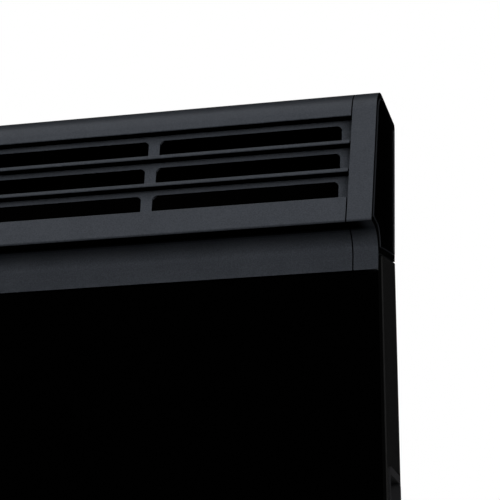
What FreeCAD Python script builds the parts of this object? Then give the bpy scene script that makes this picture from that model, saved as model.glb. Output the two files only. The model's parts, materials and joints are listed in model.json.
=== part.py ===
import FreeCAD, Part
import math
import os

from FreeCAD import Placement, Rotation, Vector

# Panel convector heater: a slanted outlet head over a black glass front, standing on two feet.
# Millimetres. X runs along the width, -Y is the front, +Z is up, and the floor is at Z = 0.
# Depths named "setback" are measured backwards from the head's front lip.

# Overall sizes
UNIT_WIDTH = 654.0
UNIT_HEIGHT = 415.0
FOOT_LIFT = 48.0
HEAD_DEPTH = 90.0
HEAD_RISE = 83.0
BODY_SETBACK = 77.0

# Outlet head
FACE_LEAN = 19.9
TOP_ROUND = 21.0
BACK_ROUND = 2.0
LIP_ROUND = 0.8
COVE_ROUND = 10.5
BAND_SETBACK = 18.6
BAND_DROP = 19.6
CAP_BACK_RISE = 1.0
CAP_BOTTOM_SLOPE = 11.7
HEAD_WALL = 2.0
REAR_FLANGE = 14.0

# Louvre rows, measured along the leaning face
LOWER_BAND = 15.6
ROW_COUNT = 3
ROW_GAP = 16.2
BAR_FACE = 2.3
BAR_ROUND = 0.4
RISER_SETBACK = 6.5
SLOT_COLUMNS = 6
RIB_WIDTH = 6.1
SLOT_END_MARGIN = 6.4
SLOT_DROP = 3.0
SLOT_SILL = 1.5
SLOT_ROUND = 2.6
STANDOFF_WIDTH = 3.0

# End caps and their trim plates
CAP_WIDTH = 13.0
CAP_SEAM = 0.65
CAP_SIDE_WALL = 2.5
PLATE_THICKNESS = 2.0
PLATE_PROUD = 0.6
PLATE_INSET = 3.2
PLATE_CLEARANCE = 0.15
PLATE_CHAMFER = 0.5
PLATE_RIM = 1.2
PLATE_DISH = 0.5
PLATE_COVE_ROUND = 4.5
COVE_WALL_SHARE = 0.95

# Sheet casing
SHEET = 1.0
SLOT_END_SHARE = 0.49
TRAY_BEND = 6.0
TRAY_TOP_DROP = 6.0
TRAY_REAR_FLANGE = 24.0
EAR_SETBACK = 32.0
EAR_HEIGHT = 58.0
HEAD_GAP = 0.3
SIDE_PANEL_SETBACK = 33.0
SIDE_PANEL_ROUND = 0.9
SIDE_PANEL_LAP = 1.3
SIDE_CORNER_ROUND = 1.1
BOTTOM_SHEET = 1.2
BOTTOM_FLANGE = 12.0
INTAKE_SLOT_LENGTH = 40.0
INTAKE_SLOT_WIDTH = 6.0
INTAKE_COLUMNS = 7
INTAKE_ROWS = 3
INTAKE_PITCH_X = 46.0
INTAKE_PITCH_Y = 12.0

# Glass front
GLASS_SETBACK = 21.2
GLASS_THICKNESS = 4.0
GLASS_TUCK = 2.0
GLASS_CLEARANCE = 0.3
GLASS_BOTTOM_GAP = 3.0
GLASS_SIDE_INSET = 1.6
GLASS_EDGE = 0.5
GLASS_PAD_THICKNESS = 1.5
GLASS_PAD_WIDTH = 30.0
GLASS_PAD_MARGIN = 2.0

# Rear panel
REAR_RECESS = 2.0
KEYHOLE_SPACING = 360.0
KEYHOLE_DROP = 135.0
KEYHOLE_RADIUS = 5.0
KEYHOLE_NECK = 5.0
KEYHOLE_RISE = 12.0
SWAGE_LENGTH = 520.0
SWAGE_WIDTH = 12.0
SWAGE_HEIGHT = 1.5
SWAGE_HEIGHTS = (95.0, 165.0, 235.0)
VENT_COUNT = 15
VENT_PITCH = 30.0
VENT_LENGTH = 22.0
VENT_WIDTH = 5.0
VENT_RISE = 15.0

# Heating element
ELEMENT_RISE = 85.0
ELEMENT_SETBACK = 50.0
ELEMENT_END_SPACE = 83.0
ELEMENT_HEIGHT = 60.0
ELEMENT_DEPTH = 30.0
ELEMENT_BOSS_RADIUS = 7.5
FIN_THICKNESS = 1.2
FIN_OFFSETS = (12.0, 19.0, 26.0)
ROD_RADIUS = 4.4
ROD_CLEARANCE = 0.05
ROD_OVERHANG = 24.0
PIN_RADIUS = 2.0
PIN_LENGTH = 14.0
BRACKET_GAP = 9.0
BRACKET_SHEET = 1.5
BRACKET_WIDTH = 28.0
BRACKET_RISE = 18.0
BRACKET_FOOT = 12.0
BUSH_RADIUS = 8.0
BUSH_COLLAR_RADIUS = 11.0
BUSH_COLLAR = 2.5
BUSH_LENGTH = 9.0
SHIELD_SHEET = 0.6
SHIELD_STANDOFF = 6.0
SHIELD_END_SPACE = 93.0
SHIELD_BOTTOM_RISE = 24.0
SHIELD_HEIGHT = 225.0
CUTOUT_RADIUS = 8.0
CUTOUT_HEIGHT = 8.0
CUTOUT_FLANGE_LENGTH = 32.0
CUTOUT_FLANGE_WIDTH = 12.0
CUTOUT_TAB_LENGTH = 8.0
CUTOUT_TAB_WIDTH = 5.6
CUTOUT_TAB_THICKNESS = 1.2
CUTOUT_X = 120.0
CUTOUT_RISE = 170.0

# Control pocket in the right side
CONTROL_SETBACK = 55.0
CONTROL_RISE = 150.0
POCKET_WIDTH = 34.0
POCKET_HEIGHT = 132.0
POCKET_DEPTH = 16.0
POCKET_WALL = 2.0
POCKET_FLOOR = 2.5
POCKET_ROUND = 5.0
POCKET_CLEARANCE = 0.2
POCKET_RIM = 2.0
KNOB_OFFSET = 40.0
KNOB_RADIUS = 10.0
KNOB_HEIGHT = 10.3
KNOB_LIFT = 4.2
KNOB_FLUTES = 18
KNOB_FLUTE_RADIUS = 1.2
KNOB_MARK_WIDTH = 1.2
KNOB_REST = 135.0
SPINDLE_RADIUS = 3.0
SPINDLE_CLEARANCE = 0.05
SPINDLE_TOP = 11.0
SPINDLE_DEPTH = 8.0
THERMOSTAT_BUSH_RADIUS = 4.5
THERMOSTAT_BUSH_HEIGHT = 3.5
THERMOSTAT_WIDTH = 28.0
THERMOSTAT_HEIGHT = 40.0
THERMOSTAT_DEPTH = 22.0
NUT_ACROSS_FLATS = 12.0
NUT_THICKNESS = 2.0
LAMP_OFFSET = 14.0
LAMP_RADIUS = 3.0
LAMP_DOME = 1.6
LAMP_ROUND = 1.3
LAMP_DEPTH = 14.0
SWITCH_OFFSETS = {"upper": -12.0, "lower": -42.0}
BEZEL_LIP = 1.2
BEZEL_THICKNESS = 1.8
SWITCH_WALL = 0.8
SWITCH_DEPTH = 16.0
SWITCH_CLEARANCE = 0.1
ROCKER_WIDTH = 9.6
ROCKER_LENGTH = 15.2
ROCKER_CROWN = 2.2
ROCKER_BELLY = 2.5
ROCKER_SWING = 20.0
ROCKER_CLEARANCE = 0.35
ROCKER_PIVOT_DROP = 1.0
ROCKER_PIN_RADIUS = 1.2
ROCKER_PIN_LENGTH = 0.8
ROCKER_PIN_CLEARANCE = 0.05

# Wiring
TERMINAL_INSET = 42.0
TERMINAL_SETBACK = 55.0
TERMINAL_LENGTH = 38.0
TERMINAL_WIDTH = 18.0
TERMINAL_HEIGHT = 17.0
TERMINAL_POLES = 3
TILT_INSET = 27.0
TILT_SETBACK = 36.0
TILT_LENGTH = 20.0
TILT_WIDTH = 12.0
TILT_HEIGHT = 28.0
TILT_TAB = 7.0
EARTH_INSET = 15.0
EARTH_SETBACK = 60.0
EARTH_RADIUS = 2.0
EARTH_HEIGHT = 14.0
EARTH_NUT_THICKNESS = 3.0
EARTH_NUT_FLATS = 7.0
GLAND_INSET = 62.0
GLAND_RISE = 28.0
GLAND_BORE = 4.0
GLAND_RADIUS = 8.0
GLAND_FLANGE_RADIUS = 11.0
GLAND_FLANGE = 2.0
GLAND_NOSE = 9.0
GLAND_NOSE_RADIUS = 6.5
GLAND_INNER = 9.0
GLAND_CLEARANCE = 0.1
GLAND_NUT_THICKNESS = 5.4
GLAND_NUT_FLATS = 20.0
WIRE_RADIUS = 1.4
SENSOR_RADIUS = 3.5
SENSOR_LENGTH = 60.0
SENSOR_X = 60.0
CAPILLARY_RADIUS = 0.9

# Feet
FOOT_INSET = 127.0
FOOT_LENGTH = 240.0
FOOT_WIDTH = 32.0
FOOT_BAR = 12.0
FOOT_TIP = 7.0
FOOT_NECK = 42.0
FOOT_NECK_Y = 5.0
FOOT_BLEND = 14.0
FOOT_EDGE = 1.5
PAD_HEIGHT = 4.0
PAD_LENGTH = 36.0
PAD_WIDTH = 24.0
PAD_END_INSET = 8.0
PAD_ROUND = 6.0
FOOT_BOLT_SPACING = 16.0
FOOT_BOLT_RADIUS = 3.0
FOOT_BOLT_HEAD_RADIUS = 5.5
FOOT_BOLT_HEAD = 4.0
FOOT_BOLT_GRIP = 18.0
FOOT_NUT_FLATS = 10.0
FOOT_NUT_THICKNESS = 5.0

# Small screws
SCREW_RADIUS = 2.0
SCREW_HEAD_RADIUS = 3.8
SCREW_HEAD = 2.2
SCREW_HEAD_ROUND = 0.9
REAR_SCREW_LENGTH = 4.0
SCREW_CLEARANCE = 0.1
RECESS_LENGTH = 4.2
RECESS_WIDTH = 1.0
RECESS_DEPTH = 1.2
REAR_SCREW_ROWS = 4
REAR_SCREW_MARGIN = 30.0
REAR_SCREW_INSET = 19.0
GRILLE_SCREWS = 5
GRILLE_SCREW_SPAN = 540.0
CAP_SCREW_SETBACKS = (44.0, 60.0)
CAP_SCREW_RISE = 32.0
CAP_SCREW_LENGTH = 5.0
CAP_SCREW_HEAD = 1.0
SIDE_SCREW_RISES = (40.0, 240.0)
SIDE_SCREW_SETBACK = 64.0
SIDE_SCREW_LENGTH = 2.4

# Places worked out from the sizes above
HALF = UNIT_WIDTH / 2
LIP_Y = -HEAD_DEPTH / 2
BASE_Z = FOOT_LIFT
TOP_Z = FOOT_LIFT + UNIT_HEIGHT
LIP_Z = TOP_Z - HEAD_RISE
LEAN = math.tan(math.radians(FACE_LEAN))
FACE_RISE = math.cos(math.radians(FACE_LEAN))
BACK_LEAN = (HEAD_DEPTH - BODY_SETBACK) / (HEAD_RISE - CAP_BACK_RISE)
TILT = math.atan(BACK_LEAN)
SIDE_X = HALF - PLATE_PROUD
WALL_X = SIDE_X - CAP_SIDE_WALL
INSIDE_X = WALL_X - SHEET
GLASS_BACK = GLASS_SETBACK + GLASS_THICKNESS
TRAY_FRONT = GLASS_BACK + GLASS_PAD_THICKNESS
REAR_OUT = BODY_SETBACK - REAR_RECESS
REAR_IN = REAR_OUT - SHEET
FLANGE_FRONT = REAR_IN - SHEET
DECK_Z = BASE_Z + BOTTOM_SHEET
GRILLE_END = HALF - CAP_WIDTH - CAP_SEAM
ROW_PITCH = ROW_GAP + BAR_FACE
SLOT_LENGTH = (2 * (HALF - CAP_WIDTH - SLOT_END_MARGIN) - (SLOT_COLUMNS - 1) * RIB_WIDTH) / SLOT_COLUMNS
CONTROL_Z = BASE_Z + CONTROL_RISE
CONTROL_Y = LIP_Y + CONTROL_SETBACK
FLOOR_X = SIDE_X - POCKET_DEPTH
FLOOR_BACK_X = FLOOR_X - POCKET_FLOOR
SHIELD_FRONT = REAR_IN - SHIELD_STANDOFF
ELEMENT_LENGTH = 2 * (INSIDE_X - ELEMENT_END_SPACE)
ELEMENT_Y = LIP_Y + ELEMENT_SETBACK
ELEMENT_Z = BASE_Z + ELEMENT_RISE
BRACKET_X = ELEMENT_LENGTH / 2 + BRACKET_GAP
TERMINAL_X = INSIDE_X - TERMINAL_INSET
TILT_X = INSIDE_X - TILT_INSET
EARTH_X = INSIDE_X - EARTH_INSET
GLAND_X = INSIDE_X - GLAND_INSET
FOOT_X = HALF - FOOT_INSET

TOUCH = 1e-6
AXES = {"X": Vector(1, 0, 0), "Y": Vector(0, 1, 0), "Z": Vector(0, 0, 1)}


def place(axis, along, a, b):
    """A point from its distance along an axis and its two other coordinates, in X, Y, Z order."""
    if axis == "X":
        return Vector(along, a, b)
    if axis == "Y":
        return Vector(a, along, b)
    return Vector(a, b, along)


def outline(corners):
    """Closed flat outline through (a, b, radius) corners, as pairs of lines and rounding arcs."""
    spans = []
    count = len(corners)
    for index, (a, b, radius) in enumerate(corners):
        corner = Vector(a, b, 0)
        before = Vector(*corners[index - 1][:2], 0).sub(corner).normalize()
        after = Vector(*corners[(index + 1) % count][:2], 0).sub(corner).normalize()
        if radius <= 0:
            spans.append((corner, None, corner))
            continue
        half_angle = before.getAngle(after) / 2
        reach = radius / math.tan(half_angle)
        middle = before.add(after).normalize()
        crown = corner.add(middle.multiply(radius / math.sin(half_angle) - radius))
        spans.append((corner.add(before.multiply(reach)), crown, corner.add(after.multiply(reach))))
    return spans


def prism(corners, axis, start, end):
    """Solid with a rounded outline, carried along an axis from start to end."""
    def at(point):
        return place(axis, start, point.x, point.y)

    edges = []
    spans = outline(corners)
    for (enter, crown, leave), (next_enter, _, _) in zip(spans, spans[1:] + spans[:1]):
        if crown is not None:
            edges.append(Part.Arc(at(enter), at(crown), at(leave)).toShape())
        if leave.distanceToPoint(next_enter) > TOUCH:
            edges.append(Part.LineSegment(at(leave), at(next_enter)).toShape())
    face = Part.Face(Part.Wire(edges))
    return face.extrude(Vector(AXES[axis]).multiply(end - start))


def rectangle(a0, a1, b0, b1, radius=0.0):
    """Corners of a rectangle with one rounding radius."""
    return [(a0, b0, radius), (a1, b0, radius), (a1, b1, radius), (a0, b1, radius)]


def obround(a, b, length, width):
    """Corners of a slot with nearly half-round ends, its length along the first direction."""
    radius = width * SLOT_END_SHARE
    return rectangle(a - length / 2, a + length / 2, b - width / 2, b + width / 2, radius)


def box(x0, x1, y0, y1, z0, z1):
    """Plain block between two corners."""
    return Part.makeBox(x1 - x0, y1 - y0, z1 - z0, Vector(x0, y0, z0))


def rod(axis, start, end, a, b, radius):
    """Round bar along an axis, centred on its two other coordinates."""
    return Part.makeCylinder(radius, end - start, place(axis, start, a, b), AXES[axis])


def hexagon(axis, start, end, a, b, across_flats):
    """Six-sided bar along an axis."""
    radius = across_flats / math.sqrt(3)
    corners = [(a + radius * math.cos(math.radians(60 * k)),
                b + radius * math.sin(math.radians(60 * k)), 0) for k in range(6)]
    return prism(corners, axis, start, end)


def fused(shapes):
    """One solid from several that touch or overlap."""
    return shapes[0].multiFuse(shapes[1:]).removeSplitter()


def mirrored(shape):
    """The same piece on the left side."""
    return shape.mirror(Vector(0, 0, 0), Vector(1, 0, 0))


def pan_screw(seat, outwards, length):
    """Pan-head screw with a cross recess, its head's underside on the seat."""
    head = rod("Z", 0, SCREW_HEAD, 0, 0, SCREW_HEAD_RADIUS)
    rim = [edge for edge in head.Edges if edge.BoundBox.ZMin > SCREW_HEAD - TOUCH]
    head = head.makeFillet(SCREW_HEAD_ROUND, rim)
    screw = fused([head, rod("Z", -length, 0, 0, 0, SCREW_RADIUS)])
    for long, wide in ((RECESS_LENGTH, RECESS_WIDTH), (RECESS_WIDTH, RECESS_LENGTH)):
        screw = screw.cut(box(-long / 2, long / 2, -wide / 2, wide / 2,
                              SCREW_HEAD - RECESS_DEPTH, SCREW_HEAD))
    screw.Placement = Placement(seat, Rotation(Vector(0, 0, 1), outwards))
    return screw


def tube(points, radius, bend):
    """Round tube along straight runs joined by tangent arcs."""
    edges = []
    last = points[0]
    for before, corner, after in zip(points, points[1:], points[2:]):
        to_before = before.sub(corner).normalize()
        to_after = after.sub(corner).normalize()
        half_angle = to_before.getAngle(to_after) / 2
        reach = bend / math.tan(half_angle)
        enter = corner.add(Vector(to_before).multiply(reach))
        leave = corner.add(Vector(to_after).multiply(reach))
        middle = Vector(to_before).add(to_after).normalize()
        crown = corner.add(middle.multiply(bend / math.sin(half_angle) - bend))
        edges.append(Part.LineSegment(last, enter).toShape())
        edges.append(Part.Arc(enter, crown, leave).toShape())
        last = leave
    edges.append(Part.LineSegment(last, points[-1]).toShape())
    path = Part.Wire(edges)
    start = Part.Wire([Part.makeCircle(radius, points[0], points[1].sub(points[0]))])
    return path.makePipeShell([start], True, False)


def head_corner(setback, rise, radius=0.0):
    """A corner of the head's side outline, measured from the lip."""
    return (LIP_Y + setback, LIP_Z + rise, radius)


def on_face(along):
    """Setback and rise of a point at a distance up the leaning front face."""
    rise = along * FACE_RISE
    return rise * LEAN, rise


def band_setback(rise):
    """Setback of the lower band's front surface, which leans as the head's back does."""
    return BAND_SETBACK + (rise + BAND_DROP) * BACK_LEAN


def cap_bottom(setback):
    """Height of the cap's lower edge above the lip, rising towards the back."""
    return CAP_BACK_RISE - (BODY_SETBACK - setback) * math.tan(math.radians(CAP_BOTTOM_SLOPE))


def back_setback(rise, inset=0.0):
    """Setback of the head's leaning back, moved forwards by an inset."""
    return HEAD_DEPTH - (HEAD_RISE - rise) * BACK_LEAN - inset / math.cos(TILT)


def head_outline():
    """Side outline of the end cap: face, rounded top, leaning back, lower edge, band and cove."""
    skirt = HEAD_WALL / math.cos(TILT)
    join = band_setback(cap_bottom(BAND_SETBACK)) + skirt
    return [
        head_corner(0, 0, LIP_ROUND),
        head_corner(band_setback(0), 0, COVE_ROUND),
        head_corner(BAND_SETBACK, -BAND_DROP),
        head_corner(BAND_SETBACK + skirt, -BAND_DROP),
        head_corner(join, cap_bottom(join)),
        head_corner(BODY_SETBACK, CAP_BACK_RISE),
        head_corner(HEAD_DEPTH, HEAD_RISE, BACK_ROUND),
        head_corner(HEAD_RISE * LEAN, HEAD_RISE, TOP_ROUND),
    ]


def inset_outline(inset, top_round):
    """Outline inside the cap's side, a set distance in from every edge and round the cove."""
    face_inset = inset / FACE_RISE
    slope = math.tan(math.radians(CAP_BOTTOM_SLOPE))
    low_inset = inset / math.cos(math.radians(CAP_BOTTOM_SLOPE))
    front_low = band_setback(0) + inset
    low_back = CAP_BACK_RISE + low_inset
    low_front = low_back - (BODY_SETBACK - front_low) * slope
    back_low = back_setback(low_back, inset)
    cove = min(PLATE_COVE_ROUND + inset, COVE_WALL_SHARE * (inset - low_front))
    return [
        head_corner(inset * LEAN + face_inset, inset),
        head_corner(front_low, inset, cove),
        head_corner(front_low, low_front),
        head_corner(back_low, low_back - (BODY_SETBACK - back_low) * slope),
        head_corner(back_setback(HEAD_RISE - inset, inset), HEAD_RISE - inset),
        head_corner((HEAD_RISE - inset) * LEAN + face_inset, HEAD_RISE - inset, top_round),
    ]


def row_levels():
    """Lower and upper edge of each louvre row along the face, from the bottom row up."""
    return [(LOWER_BAND + k * ROW_PITCH, LOWER_BAND + k * ROW_PITCH + ROW_GAP) for k in range(ROW_COUNT)]


def riser(low, high):
    """The slotted riser of one row: setback and rise of its foot and of its top."""
    front, top = on_face(high)
    foot = on_face(low)[1]
    top_setback = front + RISER_SETBACK
    return (top_setback - (top - foot) * BACK_LEAN, foot), (top_setback, top)


def outlet_grille():
    """Head moulding: top cover, three slotted risers between bars, lower band and rear flange."""
    skirt = HEAD_WALL / math.cos(TILT)
    face_wall = HEAD_WALL / FACE_RISE
    outer = [head_corner(0, 0, LIP_ROUND)]
    inner = [head_corner(HEAD_WALL * LEAN + face_wall, HEAD_WALL)]
    rows = row_levels()
    for number, (low, high) in enumerate(rows):
        foot, top = riser(low, high)
        front_low, front_high = on_face(low), on_face(high)
        outer.append(head_corner(front_low[0], front_low[1], BAR_ROUND))
        outer.append(head_corner(*foot))
        outer.append(head_corner(*top))
        outer.append(head_corner(front_high[0], front_high[1], BAR_ROUND))
        if number == 0:
            shelf = foot[1] - HEAD_WALL
            inner.append(head_corner(shelf * LEAN + face_wall, shelf))
        else:
            shelf = foot[1] - BAR_FACE * FACE_RISE
            inner.append(head_corner(last_back, shelf))
        inner.append(head_corner(foot[0] + skirt - (foot[1] - shelf) * BACK_LEAN, shelf))
        last_back = top[0] + skirt
    ceiling = top[1] + HEAD_WALL
    inner.append(head_corner(last_back + HEAD_WALL * BACK_LEAN, ceiling))
    inner.append(head_corner(ceiling * LEAN + face_wall, ceiling))
    cover = HEAD_RISE - HEAD_WALL
    inner.append(head_corner(cover * LEAN + face_wall, cover, TOP_ROUND - HEAD_WALL))
    flange_end = HEAD_RISE - REAR_FLANGE
    inner.append(head_corner(back_setback(cover, HEAD_WALL), cover))
    inner.append(head_corner(back_setback(flange_end, HEAD_WALL), flange_end))
    outer.append(head_corner(HEAD_RISE * LEAN, HEAD_RISE, TOP_ROUND))
    outer.append(head_corner(HEAD_DEPTH, HEAD_RISE, BACK_ROUND))
    outer.append(head_corner(back_setback(flange_end), flange_end))
    lower = [
        head_corner(BAND_SETBACK + skirt, -BAND_DROP),
        head_corner(BAND_SETBACK, -BAND_DROP),
        head_corner(band_setback(0), 0, COVE_ROUND),
    ]
    neck = head_corner(band_setback(HEAD_WALL) + skirt, HEAD_WALL)
    grille = prism(outer + inner[::-1] + [neck] + lower, "X", -GRILLE_END, GRILLE_END)
    cutters = []
    first = -HALF + CAP_WIDTH + SLOT_END_MARGIN
    for low, high in rows:
        foot, top = riser(low, high)
        for column in range(SLOT_COLUMNS):
            left = first + column * (SLOT_LENGTH + RIB_WIDTH)
            slot = rectangle(left, left + SLOT_LENGTH, LIP_Z + foot[1] + SLOT_SILL,
                             LIP_Z + top[1] - SLOT_DROP, SLOT_ROUND)
            cutters.append(prism(slot, "Y", LIP_Y + foot[0] - HEAD_WALL, LIP_Y + top[0] + 2 * HEAD_WALL))
    cutters += [grille_screw_hole(x) for x in grille_screw_places()]
    grille = grille.cut(Part.makeCompound(cutters))
    return fused([grille] + grille_standoffs())


def grille_standoffs():
    """Moulded ribs behind the lower band that rest the grille on the tray's front."""
    ribs = []
    low, high = GLASS_TUCK + GLASS_CLEARANCE - BAND_DROP, -TRAY_TOP_DROP - HEAD_WALL
    front = HEAD_WALL / 2
    corners = [
        head_corner(band_setback(low) + front, low),
        head_corner(TRAY_FRONT, low),
        head_corner(TRAY_FRONT, high),
        head_corner(band_setback(high) + front, high),
    ]
    for column in range(SLOT_COLUMNS + 1):
        centre = (column / SLOT_COLUMNS * 2 - 1) * (GRILLE_END - STANDOFF_WIDTH)
        ribs.append(prism(corners, "X", centre - STANDOFF_WIDTH / 2, centre + STANDOFF_WIDTH / 2))
    return ribs


def end_cap():
    """Right end cap: a shell open inwards and below, with a shallow seat for its trim plate."""
    skirt = HEAD_WALL / math.cos(TILT)
    below = -2 * BAND_DROP
    cavity = [
        head_corner(HEAD_WALL * LEAN + HEAD_WALL / FACE_RISE, HEAD_WALL),
        head_corner(band_setback(HEAD_WALL) + skirt, HEAD_WALL),
        head_corner(band_setback(below) + skirt, below),
        head_corner(REAR_OUT, below),
        head_corner(REAR_OUT, rear_bend(HEAD_WALL, REAR_OUT)),
    ] + inset_outline(HEAD_WALL, TOP_ROUND - HEAD_WALL)[4:]
    cap = prism(head_outline(), "X", HALF - CAP_WIDTH, SIDE_X)
    cap = cap.cut(prism(cavity, "X", HALF - CAP_WIDTH, WALL_X))
    seat = PLATE_INSET - PLATE_CLEARANCE
    cap = cap.cut(prism(inset_outline(seat, TOP_ROUND - seat), "X", HALF - PLATE_THICKNESS, SIDE_X))
    for y, z in cap_screw_places():
        cap = cap.cut(rod("X", WALL_X, SIDE_X, y, z, SCREW_RADIUS + SCREW_CLEARANCE))
    return cap


def cap_screw_places():
    """Depth and height of the screws in each end cap."""
    return [(LIP_Y + setback, LIP_Z + CAP_SCREW_RISE) for setback in CAP_SCREW_SETBACKS]


def end_plate():
    """Right black trim plate, bevelled and dished inside a low rim, relieved behind for the screw heads."""
    back = HALF - PLATE_THICKNESS
    plate = prism(inset_outline(PLATE_INSET, TOP_ROUND - PLATE_INSET), "X", back, HALF)
    rim = [edge for edge in plate.Edges if edge.BoundBox.XMin > HALF - TOUCH]
    plate = plate.makeChamfer(PLATE_CHAMFER, rim)
    dish = PLATE_INSET + PLATE_RIM
    plate = plate.cut(prism(inset_outline(dish, TOP_ROUND - dish), "X", HALF - PLATE_DISH, HALF))
    for y, z in cap_screw_places():
        relief = CAP_SCREW_HEAD + SCREW_CLEARANCE
        plate = plate.cut(rod("X", back, back + relief, y, z, SCREW_HEAD_RADIUS + SCREW_CLEARANCE))
    return plate


def cap_screws():
    """Low-headed screws through the cap's side wall into the tray's ears, both ends."""
    seat = HALF - PLATE_THICKNESS
    screws = []
    for y, z in cap_screw_places():
        shank = rod("X", seat - CAP_SCREW_LENGTH, seat, y, z, SCREW_RADIUS)
        screws.append(fused([shank, rod("X", seat, seat + CAP_SCREW_HEAD, y, z, SCREW_HEAD_RADIUS)]))
    return Part.makeCompound(screws + [mirrored(screw) for screw in screws])


def glass_panel():
    """Black glass front with ground edges, its top tucked behind the head's lower band."""
    half = HALF - GLASS_SIDE_INSET
    low = BASE_Z + GLASS_BOTTOM_GAP
    high = LIP_Z - BAND_DROP + GLASS_TUCK
    glass = box(-half, half, LIP_Y + GLASS_SETBACK, LIP_Y + GLASS_BACK, low, high)
    return glass.makeChamfer(GLASS_EDGE, glass.Edges)


def glass_pads():
    """Tall bonding pads between the glass and the tray, near both sides and in the middle."""
    pads = []
    low = BASE_Z + GLASS_BOTTOM_GAP + GLASS_PAD_MARGIN
    high = LIP_Z - BAND_DROP - GLASS_PAD_MARGIN
    reach = GLASS_PAD_WIDTH / 2
    side = WALL_X - TRAY_BEND - reach
    for x in (-side, 0, side):
        corners = rectangle(x - reach, x + reach, low, high, GLASS_PAD_MARGIN)
        pads.append(prism(corners, "Y", LIP_Y + GLASS_BACK, LIP_Y + TRAY_FRONT))
    return Part.makeCompound(pads)


def control_window(growth, radius):
    """Outline of the control pocket in the right side, grown by a margin."""
    reach_y = POCKET_WIDTH / 2 + growth
    reach_z = POCKET_HEIGHT / 2 + growth
    return rectangle(CONTROL_Y - reach_y, CONTROL_Y + reach_y,
                     CONTROL_Z - reach_z, CONTROL_Z + reach_z, radius)


def side_screw_places():
    """Depth and height of the screws that hold a side panel from inside."""
    return [(LIP_Y + SIDE_SCREW_SETBACK, BASE_Z + rise) for rise in SIDE_SCREW_RISES]


def rear_screw_places():
    """Width and height of the rear panel's screws, in a column at each end."""
    low = BASE_Z + REAR_SCREW_MARGIN
    high = LIP_Z - TRAY_TOP_DROP - REAR_SCREW_MARGIN
    step = (high - low) / (REAR_SCREW_ROWS - 1)
    x = INSIDE_X - REAR_SCREW_INSET
    return [(side * x, low + step * row) for side in (-1, 1) for row in range(REAR_SCREW_ROWS)]


def front_tray():
    """Folded sheet: front wall, two sides with ears into the end caps, and rear flanges."""
    front, back = LIP_Y + TRAY_FRONT, LIP_Y + REAR_IN
    high = LIP_Z - TRAY_TOP_DROP
    beyond = back + 2 * TRAY_BEND
    tray = prism(rectangle(-WALL_X, WALL_X, front, beyond, TRAY_BEND), "Z", BASE_Z, high)
    hollow = rectangle(-INSIDE_X, INSIDE_X, front + SHEET, beyond + TRAY_BEND, TRAY_BEND - SHEET)
    tray = tray.cut(prism(hollow, "Z", BASE_Z, high))
    tray = tray.cut(box(-HALF, HALF, back, beyond, BASE_Z, high))
    pieces = [tray]
    ear = rectangle(LIP_Y + EAR_SETBACK, back, high - SHEET, LIP_Z + EAR_HEIGHT)
    for side in (-1, 1):
        wall = sorted((side * INSIDE_X, side * WALL_X))
        flange = sorted((side * INSIDE_X, side * (INSIDE_X - TRAY_REAR_FLANGE)))
        pieces.append(prism(ear, "X", *wall))
        pieces.append(box(*flange, LIP_Y + FLANGE_FRONT, back, BASE_Z, high))
    tray = fused(pieces)
    holes = [prism(control_window(POCKET_CLEARANCE, POCKET_ROUND), "X", INSIDE_X, WALL_X)]
    radius = SCREW_RADIUS + SCREW_CLEARANCE
    for y, z in cap_screw_places() + side_screw_places():
        hole = rod("X", INSIDE_X, WALL_X, y, z, radius)
        holes += [hole, mirrored(hole)]
    for x, z in rear_screw_places():
        holes.append(rod("Y", LIP_Y + FLANGE_FRONT, back, x, z, radius))
    return tray.cut(Part.makeCompound(holes))


def side_panel(window):
    """Right body side cover, its outer edge rounded, with a window for the controls if asked."""
    def top(setback):
        return cap_bottom(setback) - HEAD_GAP

    floor = BASE_Z - LIP_Z
    back = BODY_SETBACK + SIDE_PANEL_LAP
    corners = [
        head_corner(SIDE_PANEL_SETBACK, floor, SIDE_CORNER_ROUND),
        head_corner(back, floor, SIDE_CORNER_ROUND),
        head_corner(back, top(back), SIDE_CORNER_ROUND),
        head_corner(SIDE_PANEL_SETBACK, top(SIDE_PANEL_SETBACK), SIDE_CORNER_ROUND),
    ]
    panel = prism(corners, "X", WALL_X, SIDE_X)
    rim = [edge for edge in panel.Edges if edge.BoundBox.XMin > SIDE_X - TOUCH]
    panel = panel.makeFillet(SIDE_PANEL_ROUND, rim)
    if window:
        panel = panel.cut(prism(control_window(POCKET_CLEARANCE, POCKET_ROUND), "X", WALL_X, SIDE_X))
    for y, z in side_screw_places():
        end = WALL_X + SIDE_SCREW_LENGTH - SHEET
        panel = panel.cut(rod("X", WALL_X, end + SCREW_CLEARANCE, y, z, SCREW_RADIUS + SCREW_CLEARANCE))
    return panel


def side_panel_screws():
    """Screws from inside the tray into both side panels."""
    screws = [pan_screw(Vector(INSIDE_X, y, z), Vector(-1, 0, 0), SIDE_SCREW_LENGTH)
              for y, z in side_screw_places()]
    return Part.makeCompound(screws + [mirrored(screw) for screw in screws])


def rear_bend(inset, setback):
    """Height above the lip at which the rear panel bends to follow the head's leaning back."""
    return HEAD_RISE - (HEAD_DEPTH - inset / math.cos(TILT) - setback) / BACK_LEAN


def grille_screw_places():
    """Width of each screw in the grille's rear flange."""
    step = GRILLE_SCREW_SPAN / (GRILLE_SCREWS - 1)
    return [-GRILLE_SCREW_SPAN / 2 + step * k for k in range(GRILLE_SCREWS)]


def grille_screw_seat(x):
    """Seat of a screw on the back of the grille's rear flange, and its outward direction."""
    rise = HEAD_RISE - REAR_FLANGE / 2 - BACK_ROUND / 2
    seat = Vector(x, LIP_Y + back_setback(rise), LIP_Z + rise)
    return seat, Vector(0, math.cos(TILT), -math.sin(TILT))


def grille_screw_hole(x):
    """Clearance hole along one of the grille's screws."""
    seat, outwards = grille_screw_seat(x)
    depth = HEAD_WALL + 2 * SHEET
    start = seat.sub(Vector(outwards).multiply(depth))
    return Part.makeCylinder(SCREW_RADIUS + SCREW_CLEARANCE, 2 * depth, start, outwards)


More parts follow.
